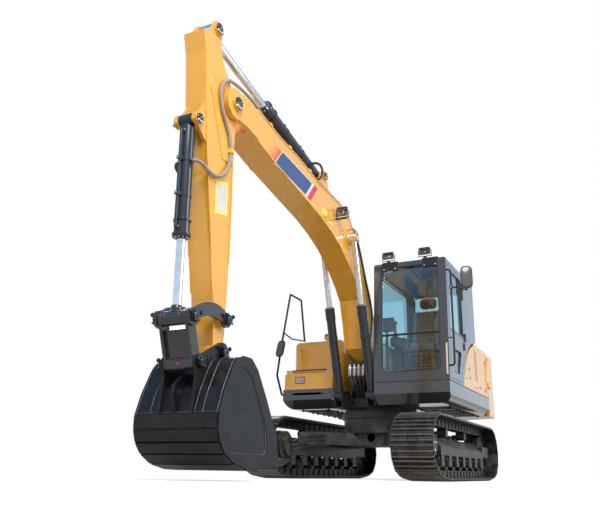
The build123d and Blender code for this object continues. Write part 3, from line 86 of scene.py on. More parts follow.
def ring_faces(rows, columns, close_rows=False):
    """Quads between the rows of a grid whose columns close on themselves."""
    r = np.arange(rows if close_rows else rows - 1)[:, None] * columns
    c = np.arange(columns)[None, :]
    n = (c + 1) % columns
    up = (r + columns) % (rows * columns)
    quads = np.stack([r + c, r + n, up + n, up + c], axis=-1).reshape(-1, 4)
    return [tuple(q) for q in quads.tolist()]


def joined(*shapes):
    """Several shapes as one; each one's indices are moved past the points before it."""
    points, faces, start = [], [], 0
    for pts, fcs in shapes:
        points.append(pts)
        faces += [tuple(i + start for i in f) for f in fcs]
        start += len(pts)
    return np.concatenate(points), faces


def loft(sections):
    """Closed sections of equal length, joined in order, with both ends capped."""
    grid = np.asarray(sections, float)
    rows, columns = grid.shape[:2]
    faces = ring_faces(rows, columns)
    last = (rows - 1) * columns
    faces.append(tuple(range(columns))[::-1])
    faces.append(tuple(range(last, last + columns)))
    return grid.reshape(-1, 3), faces


def layered(layers):
    """Anticlockwise outlines in X and Y, each at its height, joined in order."""
    return loft([np.column_stack([outline, np.full(len(outline), z)]) for outline, z in layers])


def prism(outline, low, high):
    """An anticlockwise outline in X and Y, carried straight along Z."""
    return layered([(outline, low), (outline, high)])


def slab(x0, x1, y0, y1, z0, z1):
    return prism([(x0, y0), (x1, y0), (x1, y1), (x0, y1)], z0, z1)


def rings_of(profile, sides):
    """A circle for each (radius, height) pair of a profile: x = r cos a, y = r sin a, z = h."""
    r, h = np.asarray(profile, float).T
    a = np.linspace(0, 2 * pi, sides, endpoint=False)
    return np.stack([r[:, None] * np.cos(a), r[:, None] * np.sin(a), np.repeat(h[:, None], sides, 1)], axis=-1)


def turned(profile, sides=24):
    """An open profile turned about Z, with a flat disc over each end."""
    return loft(rings_of(profile, sides))


def hoop(profile, sides=36):
    """A closed profile turned about Z and open through its middle."""
    return rings_of(profile, sides).reshape(-1, 3), ring_faces(len(profile), sides, close_rows=True)


def basis(axis, across=(0.0, 0.0, 1.0)):
    """A matrix whose Z column is the axis and whose Y column leans towards the second direction."""
    z = np.asarray(axis, float)
    z = z / np.linalg.norm(z)
    x = np.cross(np.asarray(across, float), z)
    if np.linalg.norm(x) < 1e-6:
        x = np.cross((1.0, 0.0, 0.0), z)
    x = x / np.linalg.norm(x)
    return np.column_stack([x, np.cross(z, x), z])


def placed(shape, origin, axes=None):
    """The shape turned by a matrix and moved: p' = origin + axes · p."""
    points, faces = shape
    turn = np.eye(3) if axes is None else np.asarray(axes, float)
    return points @ turn.T + np.asarray(origin, float), faces


def repeated(shape, origins, axes=None):
    """One shape at many places: p' = origin_k + axes_k · p, worked out for all copies at once."""
    points, faces = shape
    origins = np.atleast_2d(np.asarray(origins, float))
    turns = np.broadcast_to(np.eye(3) if axes is None else np.asarray(axes, float), (len(origins), 3, 3))
    spread = np.einsum("kij,nj->kni", turns, points) + origins[:, None, :]
    count = len(points)
    every = [tuple(i + k * count for i in f) for k in range(len(origins)) for f in faces]
    return spread.reshape(-1, 3), every


def at_y(outline, y):
    """Points in X and Z at one place along Y."""
    x, z = np.asarray(outline, float).T
    return np.column_stack([x, np.full(len(x), y), z])


def xz_plate(outline, y0, y1):
    """An outline in X and Z, anticlockwise seen from the right side, carried along +Y."""
    return loft([at_y(outline, y) for y in (y1, y0)])


def smooth_path(stops, per_span=8):
    """Catmull-Rom curve through given stops: each span is a cubic of its four nearest stops."""
    p = np.asarray(stops, float)
    p = np.concatenate([[2 * p[0] - p[1]], p, [2 * p[-1] - p[-2]]])
    t = np.linspace(0, 1, per_span, endpoint=False)[None, :, None]
    a, b, c, d = (p[i:len(p) - 3 + i, None, :] for i in range(4))
    curve = 0.5 * (2 * b + (c - a) * t + (2 * a - 5 * b + 4 * c - d) * t**2 + (3 * b - a - 3 * c + d) * t**3)
    return np.concatenate([curve.reshape(-1, 3), p[-2:-1]])


def tube(path, radius, sides=10, across=(0.0, 1.0, 0.0)):
    """A circle carried along a path; its frame is the tangent and two directions square to it."""
    path = np.asarray(path, float)
    tangent = np.gradient(path, axis=0)
    tangent /= np.linalg.norm(tangent, axis=1)[:, None]
    first = np.cross(np.asarray(across, float), tangent)
    first /= np.linalg.norm(first, axis=1)[:, None]
    second = np.cross(tangent, first)
    a = np.linspace(0, 2 * pi, sides, endpoint=False)
    rad = np.broadcast_to(np.asarray(radius, float), (len(path),))[:, None, None]
    circle = np.cos(a)[None, :, None] * first[:, None, :] + np.sin(a)[None, :, None] * second[:, None, :]
    return loft(path[:, None, :] + rad * circle)


def hexagon(width):
    a = np.arange(6) * pi / 3
    return np.column_stack([np.cos(a), np.sin(a)]) * width / 2


def bolt(width):
    """A hexagon head with a crowned top on a round washer, standing on Z = 0."""
    head = layered([(hexagon(width * k), width * z) for k, z in ((1.0, 0.0), (1.0, 0.46), (0.82, 0.58))])
    washer = turned([(width * 0.68, -width * 0.05), (width * 0.68, width * 0.1)], 12)
    return joined(washer, head)


def rounded_rectangle(half_x, half_y, radius, steps=5):
    """Anticlockwise outline whose four corners are quarter circles."""
    a = np.linspace(0, pi / 2, steps)
    corner = np.column_stack([np.cos(a), np.sin(a)]) * radius
    inner = np.array([half_x - radius, half_y - radius])
    turns = [(1, 1, 0), (-1, 1, 1), (-1, -1, 2), (1, -1, 3)]
    out = []
    for sx, sy, quarter in turns:
        c, s = cos(quarter * pi / 2), sin(quarter * pi / 2)
        out.append(corner @ np.array([[c, s], [-s, c]]) + inner * (sx, sy))
    return np.concatenate(out)


def spun(centre, axis, radius, count, turn=0.0):
    """Places evenly round a circle: origin_k = centre + r (cos a_k x + sin a_k y), x and y square to the axis."""
    axes = basis(axis)
    a = np.arange(count) * 2 * pi / count + turn
    return np.asarray(centre, float) + radius * (np.cos(a)[:, None] * axes[:, 0] + np.sin(a)[:, None] * axes[:, 1])


def bolts_at(places, axis, width):
    """Bolt heads at a list of places, all facing along one axis."""
    return repeated(placed(bolt(width), (0, 0, 0), basis(axis)), places)


def ccw(outline):
    """The outline turned, where needed, to run anticlockwise: its area is half the sum of x_i y_j - x_j y_i."""
    flat = np.asarray(outline, float)
    after = np.roll(flat, -1, axis=0)
    area = (flat[:, 0] * after[:, 1] - after[:, 0] * flat[:, 1]).sum()
    return flat if area > 0 else flat[::-1]


# ---------------------------------------------------------------- pieces
def piece(name, shape, look, body, bevel=0.0, smooth=False, steps=2):
    """A mesh object at the origin from one shape or a list of them, with the finish of that name. It rides on a
    body if one is given, and a bevel rounds its sharp edges."""
    points, faces = joined(*shape) if isinstance(shape, list) else shape
    mesh = bpy.data.meshes.new(name)
    mesh.from_pydata(points.tolist(), [], faces)
    mesh.validate()
    thing = bpy.data.objects.new(name, mesh)
    bpy.context.scene.collection.objects.link(thing)
    mesh.materials.append(finish(look))
    if smooth:
        mesh.shade_smooth()
        mesh.set_sharp_from_angle(angle=SHARP_TURN)
    if bevel:
        edge = thing.modifiers.new("edge", "BEVEL")
        edge.width = bevel
        edge.segments = steps
        edge.limit_method = "ANGLE"
        edge.angle_limit = BEVEL_TURN
        edge.use_clamp_overlap = True
    if body:
        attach(thing, body)
    return thing


def lay_uv(thing, u, v):
    """A UV map from two numbers for each vertex."""
    mesh = thing.data
    index = np.empty(len(mesh.loops), np.int32)
    mesh.loops.foreach_get("vertex_index", index)
    layer = mesh.uv_layers.new(name="UVMap")
    layer.data.foreach_set("uv", np.column_stack([u, v])[index].astype(np.float32).ravel())


def strand(name, stops, radius, look, body=None, across=(0.0, 1.0, 0.0), between=None, sides=12):
    """Hose or line along a smooth path; V runs with its length in metres, so the rings of its cover keep their
    pitch. With between, its place is put into its mesh; the bodies, start and end given in it are not used."""
    path = smooth_path(stops)
    thing = piece(name, tube(path, radius, sides, across), look, body, smooth=True)
    walked = np.concatenate([[0], np.cumsum(np.linalg.norm(np.diff(path, axis=0), axis=1))])
    lay_uv(thing, np.tile(np.arange(sides) / sides, len(path)), np.repeat(walked, sides))
    if between:
        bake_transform(thing)
    return thing


def finish_node(name, look):
    """Gives a carried-over node its finish."""
    materials = NODES[name].data.materials
    materials.clear()
    materials.append(finish(look))


# ---------------------------------------------------------------- finishes
def wire(tree, node, **sockets):
    """Sets a node's own settings and sockets by name; another node's result is linked to its socket."""
    for key, value in sockets.items():
        if hasattr(node, key):
            setattr(node, key, value)
        elif isinstance(value, bpy.types.NodeSocket):
            tree.links.new(value, node.inputs[key.replace("_", " ")])
        else:
            node.inputs[key.replace("_", " ")].default_value = value
    return node


def add(tree, kind, **sockets):
    """A new node in a tree with its settings and sockets, named without the kind's first words."""
    return wire(tree, tree.nodes.new("ShaderNode" + kind), **sockets)


def object_coords(tree):
    return add(tree, "TexCoord").outputs["Object"]


def math(tree, operation, a, b=None, c=None, clamp=False):
    """One Math node's result; a number is set on the socket and anything else is linked to it."""
    made = add(tree, "Math", operation=operation, use_clamp=clamp)
    for i, term in enumerate((a, b, c)):
        if term is None:
            continue
        if isinstance(term, (int, float)):
            made.inputs[i].default_value = term
        else:
            tree.links.new(term, made.inputs[i])
    return made.outputs[0]


def scaled(tree, value, factor, offset, clamp=False):
    """The value times a factor plus an offset; any of the three may be a number or a node's result."""
    return math(tree, "MULTIPLY_ADD", value, factor, offset, clamp)


def product(tree, first, second, clamp=False):
    return math(tree, "MULTIPLY", first, second, clamp=clamp)


def ripple(tree, value, height, middle):
    """A value of 0 to 1 as a swing of that height about a middle."""
    return scaled(tree, math(tree, "SUBTRACT", value, 0.5), height, middle)


def tones(colour, factor, lift=0.0):
    """A colour and its second tone: each channel times a factor plus a lift."""
    return tuple(colour), tuple(c * factor + lift for c in colour)


def mixed(tree, share, first, second):
    """A colour between two, by a share from 0 to 1."""
    made = add(tree, "Mix", data_type="RGBA")
    for socket, term in (("Factor", share), ("A", first), ("B", second)):
        port = [s for s in made.inputs if s.name == socket and s.enabled][0]
        if isinstance(term, (int, float)):
            port.default_value = term
        elif isinstance(term, tuple):
            port.default_value = (*term, 1.0)
        else:
            tree.links.new(term, port)
    return [s for s in made.outputs if s.enabled][0]


def ramp(tree, value, low, high):
    """Value stretched so that low gives 0 and high gives 1, with soft ends."""
    made = add(tree, "MapRange", interpolation_type="SMOOTHSTEP", From_Min=low, From_Max=high, Value=value)
    return made.outputs["Result"]


def noise(tree, coords, scale, detail=4.0, rough=0.55):
    return add(tree, "TexNoise", Vector=coords, Scale=scale, Detail=detail, Roughness=rough).outputs["Fac"]


def bumped(tree, height, strength, distance):
    return add(tree, "Bump", Height=height, Strength=strength, Distance=distance).outputs[0]


def new_group(name, inputs, outputs):
    """An empty node group with named sockets: columns are name, socket type and default."""
    tree = bpy.data.node_groups.new(name, "ShaderNodeTree")
    for label, kind, default in inputs:
        socket = tree.interface.new_socket(label, in_out="INPUT", socket_type="NodeSocket" + kind)
        socket.default_value = default
    for label, kind in outputs:
        tree.interface.new_socket(label, in_out="OUTPUT", socket_type="NodeSocket" + kind)
    return tree, tree.nodes.new("NodeGroupInput").outputs, tree.nodes.new("NodeGroupOutput")


def coat_group():
    """Sprayed coat: broad tone drift, orange peel, and dust that settles low down and on what faces up."""
    tree, given, out = new_group("sprayed_coat", [
        ("Colour", "Color", (0.8, 0.8, 0.8, 1)),
        ("Dust Colour", "Color", (0.36, 0.31, 0.25, 1)),
        ("Dust", "Float", 0.2),
        ("Drift", "Float", 0.06),
        ("Roughness", "Float", 0.3),
        ("Peel", "Float", 0.12),
    ], [("Colour", "Color"), ("Roughness", "Float"), ("Normal", "Vector"), ("Dust", "Float")])
    coords = object_coords(tree)
    broad = noise(tree, coords, 1.7, 3.0)
    fine = noise(tree, coords, 34.0, 6.0, 0.6)
    streak = noise(tree, add(tree, "Mapping", Vector=coords, Scale=(14.0, 14.0, 0.9)).outputs[0], 1.0, 5.0)
    lift = ripple(tree, broad, given["Drift"], 1.0)
    lift = ripple(tree, streak, product(tree, given["Drift"], 0.7), lift)
    toned = add(tree, "HueSaturation", Color=given["Colour"], Value=lift).outputs[0]
    facing = add(tree, "SeparateXYZ", Vector=add(tree, "NewGeometry").outputs["Normal"]).outputs["Z"]
    height = add(tree, "SeparateXYZ", Vector=coords).outputs["Z"]
    low = scaled(tree, ramp(tree, height, 1.5, 0.0), 0.6, 0.12)
    upward = scaled(tree, ramp(tree, facing, 0.1, 0.9), 0.5, low)
    patches = ramp(tree, noise(tree, coords, 7.0, 8.0, 0.62), 0.36, 0.74)
    mask = product(tree, product(tree, patches, upward), scaled(tree, fine, 0.8, 0.6))
    mask = product(tree, mask, given["Dust"], clamp=True)
    drift = ripple(tree, fine, 0.16, given["Roughness"])
    peel = bumped(tree, noise(tree, coords, 210.0, 2.0), given["Peel"], 0.0006)
    wire(tree, out, Colour=mixed(tree, mask, toned, given["Dust Colour"]), Normal=peel, Dust=mask,
         Roughness=scaled(tree, mask, 0.5, drift, clamp=True))
    return tree


def wear_group():
    """Bare metal where a coat has rubbed off: torn patches, and all of what the wear attribute marks."""
    tree, given, out = new_group("rubbed_metal", [
        ("Colour", "Color", (0.05, 0.05, 0.05, 1)),
        ("Metal", "Color", (0.42, 0.40, 0.37, 1)),
        ("Amount", "Float", 0.3),
        ("Roughness", "Float", 0.5),
    ], [("Colour", "Color"), ("Roughness", "Float"), ("Mask", "Float"), ("Normal", "Vector")])
    coords = object_coords(tree)
    torn = noise(tree, coords, 11.0, 9.0, 0.66)
    grit = noise(tree, coords, 90.0, 5.0, 0.6)
    marked = add(tree, "Attribute", attribute_name="wear").outputs["Fac"]
    share = product(tree, ramp(tree, torn, 0.56, 0.70), given["Amount"])
    share = math(tree, "ADD", share, product(tree, marked, scaled(tree, grit, 0.7, 0.35)), clamp=True)
    rough = ripple(tree, grit, 0.3, given["Roughness"])
    pitted = bumped(tree, math(tree, "ADD", grit, torn), 0.35, 0.0012)
    wire(tree, out, Colour=mixed(tree, share, given["Colour"], given["Metal"]), Mask=share, Normal=pitted,
         Roughness=scaled(tree, share, -0.16, rough, clamp=True))
    return tree


GROUPS = {}


def group(maker):
    """The node group a maker builds, built once and shared."""
    if maker not in GROUPS:
        GROUPS[maker] = maker()
    return GROUPS[maker]


def blank(name):
    """A new material, its tree and its shader."""
    material = bpy.data.materials.new(name)
    material.use_nodes = True
    tree = material.node_tree
    return material, tree, tree.nodes["Principled BSDF"]


def use_group(tree, maker, **sockets):
    """The shared group's results in a material, with that material's own values."""
    return add(tree, "Group", node_tree=group(maker), **sockets).outputs


def coat(name, colour, rough, dust=0.2, gloss=0.0, drift=0.06, peel=0.12, shine=0.5):
    """Sprayed paint under an optional clear coat; shine is the paint's own specular level."""
    material, tree, shader = blank(name)
    sprayed = use_group(tree, coat_group, Colour=(*colour, 1), Dust=dust, Drift=drift, Roughness=rough, Peel=peel)
    wire(tree, shader, Base_Color=sprayed["Colour"], Roughness=sprayed["Roughness"], Normal=sprayed["Normal"],
         Coat_Weight=gloss, Coat_Roughness=0.06, Specular_IOR_Level=shine)
    return material


def worked_metal(name, colour, metal, amount, rough, metallic=0.6, dust=0.3, gloss=0.0, shine=0.5):
    """Dark coat over steel that shows where it has been rubbed."""
    material, tree, shader = blank(name)
    sprayed = use_group(tree, coat_group, Colour=(*colour, 1), Dust=dust, Drift=0.2, Roughness=rough, Peel=0.1)
    rubbed = use_group(tree, wear_group, Metal=(*metal, 1), Amount=amount, Colour=sprayed["Colour"],
                       Roughness=sprayed["Roughness"])
    wire(tree, shader, Base_Color=rubbed["Colour"], Roughness=rubbed["Roughness"], Normal=rubbed["Normal"],
         Metallic=scaled(tree, rubbed["Mask"], 0.9 - metallic, metallic, clamp=True),
         Coat_Weight=gloss, Coat_Roughness=0.12, Specular_IOR_Level=shine)
    return material


def moulded(name, colour, rough, grain=240.0, depth=0.25):
    """Rubber or plastic with a fine cast grain."""
    material, tree, shader = blank(name)
    coords = object_coords(tree)
    pores = add(tree, "TexVoronoi", Vector=coords, Scale=grain).outputs["Distance"]
    cloud = noise(tree, coords, 9.0, 4.0)
    share = product(tree, ramp(tree, cloud, 0.3, 0.8), 0.5)
    wire(tree, shader, Base_Color=mixed(tree, share, *tones(colour, 1.35, 0.01)),
         Roughness=ripple(tree, cloud, 0.2, rough), Normal=bumped(tree, pores, depth, 0.0008))
    return material


def plated(name, colour, rough, lines=0.0):
    """Bright metal; lines above 0 gives it a turned grain round its length."""
    material, tree, shader = blank(name)
    coords = object_coords(tree)
    smear = noise(tree, coords, 16.0, 5.0)
    wire(tree, shader, Metallic=1.0, Roughness=scaled(tree, smear, 0.12, rough),
         Base_Color=mixed(tree, ramp(tree, smear, 0.3, 0.75), *tones(colour, 0.82)))
    if lines:
        wire(tree, shader, Normal=bumped(tree, noise(tree, coords, 420.0, 2.0), lines, 0.0004))
    return material


def glazing(name, colour, rough=0.02, index=1.45):
    """Tinted safety glass with a faint film of dust in its roughness."""
    material, tree, shader = blank(name)
    film = ramp(tree, noise(tree, object_coords(tree), 5.0, 7.0, 0.6), 0.45, 0.8)
    tint = mixed(tree, product(tree, film, 0.25), *tones(colour, 0.9))
    # daylight comes through to what stands behind the pane
    sight = add(tree, "LightPath").outputs["Is Shadow Ray"]
    wire(tree, shader, Base_Color=tint, Roughness=scaled(tree, film, 0.05, rough),
         Transmission_Weight=1.0, IOR=index, Alpha=scaled(tree, sight, -0.8, 1.0))
    return material


def woven(name, colour, thread, rough=0.85):
    """Plain weave: two sets of waves, along X + Z and along Y + Z, so that each face shows both; their product
    lifts each crossing."""
    material, tree, shader = blank(name)
    coords = object_coords(tree)
    waves = []
    for kept in ((1.0, 0.0, 1.0), (0.0, 1.0, 1.0)):
        along = add(tree, "Mapping", Vector=coords, Scale=kept).outputs[0]
        wave = add(tree, "TexWave", Vector=along, bands_direction="DIAGONAL", Scale=0.628 / thread)
        waves.append(wave.outputs["Fac"])
    crossing = product(tree, *waves)
    dusty = noise(tree, coords, 12.0, 6.0)
    share = scaled(tree, crossing, 0.5, product(tree, dusty, 0.3), clamp=True)
    wire(tree, shader, Base_Color=mixed(tree, share, *tones(colour, 1.9, 0.02)),
         Normal=bumped(tree, crossing, 0.5, 0.0012), Roughness=rough, Sheen_Weight=0.25)
    return material


def braided(name, colour, rough, pitch=90.0, depth=0.5):
    """Hose cover: fine rings round the hose from its own UV map, over a mottled colour."""
    material, tree, shader = blank(name)
    uv = add(tree, "TexCoord").outputs["UV"]
    rings = add(tree, "TexWave", Vector=uv, bands_direction="Y", Scale=pitch).outputs["Fac"]
    cloud = noise(tree, object_coords(tree), 14.0, 5.0)
    share = scaled(tree, cloud, 0.5, product(tree, rings, 0.25), clamp=True)
    wire(tree, shader, Base_Color=mixed(tree, share, *tones(colour, 1.5, 0.015)),
         Normal=bumped(tree, rings, depth, 0.0015), Roughness=scaled(tree, cloud, 0.2, rough))
    return material


def finish_table(look):
    """Every finish by its name: its maker, and the maker's values after the name."""
    dust = look.dust
    return {
        "yellow_coat": (coat, look.yellow, 0.27, dust * 0.3, 0.9, 0.07, 0.06),
        "charcoal_coat": (coat, look.charcoal, 0.22, dust * 0.2, 0.9, 0.08, 0.04),
        "black_coat": (coat, look.black, 0.42, dust * 0.6, 0.15, 0.15, 0.12, 0.25),
        "cylinder_coat": (coat, (0.020, 0.027, 0.037), 0.26, dust * 0.3, 0.45, 0.1, 0.06, 0.3),
        "link_coat": (coat, (0.018, 0.019, 0.024), 0.28, dust * 0.5, 0.6, 0.12, 0.08),
        "belly_coat": (coat, (0.17, 0.145, 0.14), 0.6, dust, 0.0, 0.2, 0.15),
        "weld": (coat, (0.055, 0.052, 0.052), 0.4, dust * 0.3, 0.2, 0.2, 0.2),
        "mirror_back": (coat, (0.09, 0.075, 0.072), 0.2, dust * 0.2, 0.8, 0.1, 0.04),
        # pale warm coat of the bar at the cab's front corner: a painted highlight of the sun on the pillar's rounded
        # corner
        "pale_bar": (coat, (0.62, 0.50, 0.38), 0.25, dust * 0.3, 0.6, 0.06, 0.05),
        "screen": (coat, (0.01, 0.015, 0.02), 0.12, 0.0, 0.8, 0.05, 0.02),
        "undercarriage_coat": (worked_metal, (0.028, 0.027, 0.028), (0.20, 0.17, 0.14), 0.25, 0.42, 0.25, dust * 1.5),
        "shoe_steel": (worked_metal, (0.035, 0.034, 0.035), (0.34, 0.31, 0.27), 0.25, 0.36, 0.75, dust * 1.2),
        "bucket_coat": (worked_metal, (0.008, 0.009, 0.012), (0.12, 0.11, 0.10), 0.05, 0.32, 0.1, dust * 0.2, 0.18,
                        0.22),
        "iron": (worked_metal, (0.05, 0.05, 0.05), (0.3, 0.28, 0.26), 0.4, 0.55),
        "tread": (worked_metal, (0.05, 0.05, 0.05), (0.35, 0.33, 0.30), 0.35, 0.5),
        "chrome": (plated, (0.86, 0.87, 0.89), 0.05, 0.04),
        "zinc": (plated, (0.72, 0.72, 0.70), 0.28),
        "mirror": (plated, (0.80, 0.84, 0.88), 0.02),
        "glass": (glazing, look.glass, 0.02, 1.6),
        "lens": (glazing, (0.95, 0.96, 0.97), 0.10),
        "reflector": (moulded, (0.80, 0.81, 0.80), 0.25, 60.0, 0.1),
        "rubber": (moulded, (0.022, 0.022, 0.023), 0.55),
        "trim": (moulded, (0.035, 0.036, 0.038), 0.45),
        "lining": (moulded, (0.46, 0.49, 0.48), 0.6, 120.0),
        "ceiling": (moulded, (0.045, 0.15, 0.29), 0.7, 120.0),
        "floor_mat": (moulded, (0.05, 0.05, 0.05), 0.8, 70.0, 0.8),
        "red_cap": (moulded, (0.55, 0.03, 0.02), 0.35),
        "plate_white": (moulded, (0.60, 0.60, 0.57), 0.4, 300.0, 0.05),
        "plate_yellow": (moulded, (0.95, 0.74, 0.10), 0.4, 300.0, 0.05),
        "plate_grey": (moulded, (0.42, 0.36, 0.33), 0.4, 300.0, 0.05),
        "band_blue": (moulded, (0.035, 0.075, 0.20), 0.3, 300.0, 0.05),
        "band_red": (moulded, (0.60, 0.03, 0.03), 0.3, 300.0, 0.05),
        "seat_cloth": (woven, (0.045, 0.047, 0.052), 0.004),
        "black_hose": (braided, (0.018, 0.018, 0.02), 0.34, 120.0, 0.15),
        "grey_hose": (braided, (0.30, 0.28, 0.26), 0.5, 160.0, 0.6),
    }


FINISHES = {}


def finish(name):
    """The material of that name, built once from the colours in the panel."""
    if name not in FINISHES:
        maker, *values = finish_table(bpy.context.scene.excavator_looks)[name]
        FINISHES[name] = maker(name, *values)
    return FINISHES[name]


# ---------------------------------------------------------------- sizes and colours a user would change
class ExcavatorLooks(PropertyGroup):
    yellow: FloatVectorProperty(
        name="Yellow", description="Colour of the boom, arm, tank and tail", subtype="COLOR", size=3,
        default=(0.86, 0.42, 0.035), min=0, max=1)
    charcoal: FloatVectorProperty(
        name="Charcoal", description="Colour of the cab and the deck's skirts", subtype="COLOR", size=3,
        default=(0.042, 0.045, 0.053), min=0, max=1)
    black: FloatVectorProperty(
        name="Black", description="Colour of the frames, rails and cylinders", subtype="COLOR", size=3,
        default=(0.016, 0.017, 0.020), min=0, max=1)
    glass: FloatVectorProperty(
        name="Glass", description="Tint of the cab's glass", subtype="COLOR", size=3,
        default=(0.62, 0.82, 0.84), min=0, max=1)
    dust: FloatProperty(
        name="Dust", description="Share of dust on what faces up and lies low", default=0.3, min=0, max=1,
        subtype="FACTOR")


class TrackSizes(PropertyGroup):
    shoes: IntProperty(name="Shoes", description="Number of shoes in each loop", default=46, min=30, max=70)
    span: FloatProperty(
        name="Span", description="Idler axle to sprocket axle", default=2.89, unit="LENGTH", subtype="DISTANCE")
    axle: FloatProperty(
        name="Axle height", description="Height of both axles", default=0.40, unit="LENGTH", subtype="DISTANCE")
    belt: FloatProperty(
        name="Belt radius", description="Axle to the shoes' plates", default=0.346, unit="LENGTH",
        subtype="DISTANCE")
    toe: FloatProperty(
        name="Toe radius", description="Bend from the flat run into the ramps", default=0.20, unit="LENGTH",
        subtype="DISTANCE")
    flat: FloatProperty(
        name="Half flat run", description="Flat run from the swing axis each way", default=1.15, unit="LENGTH",
        subtype="DISTANCE")
    grouser: FloatProperty(
        name="Grouser", description="Height of a grouser over its plate", default=0.024, unit="LENGTH",
        subtype="DISTANCE")
    plate: FloatProperty(
        name="Plate", description="Thickness of a shoe's plate", default=0.012, unit="LENGTH", subtype="DISTANCE")
    link: FloatProperty(
        name="Link", description="Depth of the chain's links", default=0.092, unit="LENGTH", subtype="DISTANCE")
    chain: FloatProperty(
        name="Chain", description="Width over the chain's links", default=0.15, unit="LENGTH", subtype="DISTANCE")


class StageSizes(PropertyGroup):
    eye: FloatVectorProperty(
        name="Eye", description="Place of the camera", subtype="XYZ", size=3, default=(9.183, 3.331, 0.083))
    yaw: FloatProperty(
        name="Yaw", description="Heading of the view, from +X towards +Y", default=radians(206.904),
        subtype="ANGLE")
    pitch: FloatProperty(
        name="Pitch", description="Rise of the view over level", default=0.3063, subtype="ANGLE")
    roll: FloatProperty(name="Roll", description="Turn about the view", default=0.0158, subtype="ANGLE")
    lens: FloatProperty(name="Lens", description="Focal length on a 36 mm sensor", default=40.11)
    key: FloatProperty(name="Key", description="Strength of the key lamp", default=1.12)
    sky: FloatProperty(name="Sky", description="Strength of the light from all round", default=0.42)


# ---------------------------------------------------------------- tracks
def belt_curve(size, count):
    """Evenly spaced joints of the belt: the hull of four circles, walked by its length.

    Each circle's arc is x = cx + r cos a, z = cz + r sin a; tangent lines join the arcs."""
    half, toe_z = size.span / 2, size.grouser + size.toe
    centres = np.array([(half, size.axle), (-half, size.axle), (-size.flat, toe_z), (size.flat, toe_z)])
    radii = np.array([size.belt, size.belt, size.toe, size.toe])
    run = np.roll(centres, -1, axis=0) - centres
    length = np.hypot(*run.T)
    lean = np.arccos((radii - np.roll(radii, -1)) / length)
    leave = np.arctan2(run[:, 1], run[:, 0]) - lean
    arrive = np.roll(leave, 1)
    sweep = (leave - arrive) % (2 * pi)
    share = np.linspace(0, 1, 60)
    arcs = arrive[:, None] + sweep[:, None] * share
    dense = centres[:, None, :] + radii[:, None, None] * np.stack([np.cos(arcs), np.sin(arcs)], axis=-1)
    dense = np.vstack([dense.reshape(-1, 2), dense[0, :1]])
    walked = np.concatenate([[0], np.cumsum(np.hypot(*np.diff(dense, axis=0).T))])
    at = np.arange(count) * walked[-1] / count
    return np.column_stack([np.interp(at, walked, dense[:, 0]), np.interp(at, walked, dense[:, 1])])


def chord_frames(joints):
    """For each chord of the belt: its start, its length and axes along it, to the left and outwards."""
    ahead = np.roll(joints, -1, axis=0) - joints
    span = np.hypot(*ahead.T)
    t = ahead / span[:, None]
    zero = np.zeros(len(t))
    along = np.column_stack([t[:, 0], zero, t[:, 1]])
    across = np.column_stack([zero, -np.ones(len(t)), zero])
    outward = np.column_stack([t[:, 1], zero, -t[:, 0]])
    return span, np.stack([along, across, outward], axis=-1)


def shoe_shape(pitch, width, size):
    """A triple-grouser shoe lying along X with its plate's outer face at Z = 0, bevelled at both ends."""
    # columns: place along the plate as a share of the pitch, height as a share of the grouser
    top = [(-0.015, -0.25), (0.04, 0.0), (0.085, 0.02), (0.11, 1.0), (0.15, 1.0), (0.19, 0.1), (0.44, 0.06),
           (0.475, 1.0), (0.525, 1.0), (0.56, 0.06), (0.81, 0.1), (0.85, 1.0), (0.89, 1.0), (0.93, 0.0),
           (0.985, 0.0)]
    s, h = np.array(top).T
    low = np.array([(0.985, -1.0), (0.93, -1.0), (0.05, -1.0), (-0.015, -1.25)])
    xs = np.concatenate([s, low[:, 0]]) * pitch
    full = np.concatenate([h * size.grouser, low[:, 1] * size.plate])
    cut = np.concatenate([np.minimum(h, 0.3) * size.grouser, low[:, 1] * size.plate])
    w = width / 2
    sections = [(w, cut), (w - 0.028, full), (-w + 0.028, full), (-w, cut)]
    return loft([at_y(np.column_stack([xs, z]), y) for y, z in sections])


def link_outline(pitch, size):
    """One side of a link: a plate with a round end at each joint and a raised rail, in the shoe's frame."""
    low, high = -size.plate - size.link, -size.plate
    mid = (low + high) / 2
    r = size.link * 0.40
    a = np.linspace(-pi / 2, pi / 2, 5)
    right = np.column_stack([pitch * 1.12 + r * np.cos(a) * 0.7, mid + r * np.sin(a)])
    left = np.column_stack([-pitch * 0.12 - r * np.cos(a) * 0.7, mid - r * np.sin(a)])
    return np.vstack([right, [(pitch * 0.8, high), (pitch * 0.2, high)], left,
                      [(pitch * 0.2, low), (pitch * 0.8, low)]])


def track_parts(size, y, width):
    """Shoes, bolts, links and pins of one loop."""
    joints = belt_curve(size, size.shoes)
    span, axes = chord_frames(joints)
    pitch = float(span.mean())
    starts = np.column_stack([joints[:, 0], np.full(len(joints), y), joints[:, 1]])
    shoes = repeated(shoe_shape(pitch, width, size), starts, axes)
    spots = [(0.315, 0.052), (0.315, -0.052), (0.685, 0.052), (0.685, -0.052)]
    heads = joined(*[placed(bolt(0.021), (s * pitch, dy, 0.001)) for s, dy in spots])
    bolts = repeated(heads, starts, axes)
    half = size.chain / 2
    rails = [xz_plate(link_outline(pitch, size), *sorted((sign * half, sign * (half - 0.021)))) for sign in (-1, 1)]
    links = repeated(joined(*rails), starts, axes)
    pin = turned([(0.019, -half - 0.006), (0.019, half + 0.006)], 10)
    collar = turned([(0.030, -half + 0.022), (0.030, half - 0.022)], 12)
    lying = np.column_stack([(1, 0, 0), (0, 0, 1), (0, -1, 0)])
    depth = -size.plate - size.link / 2
    pins = repeated(placed(joined(pin, collar), (0, 0, depth), lying), starts, axes)
    return shoes, bolts, joined(links, pins)


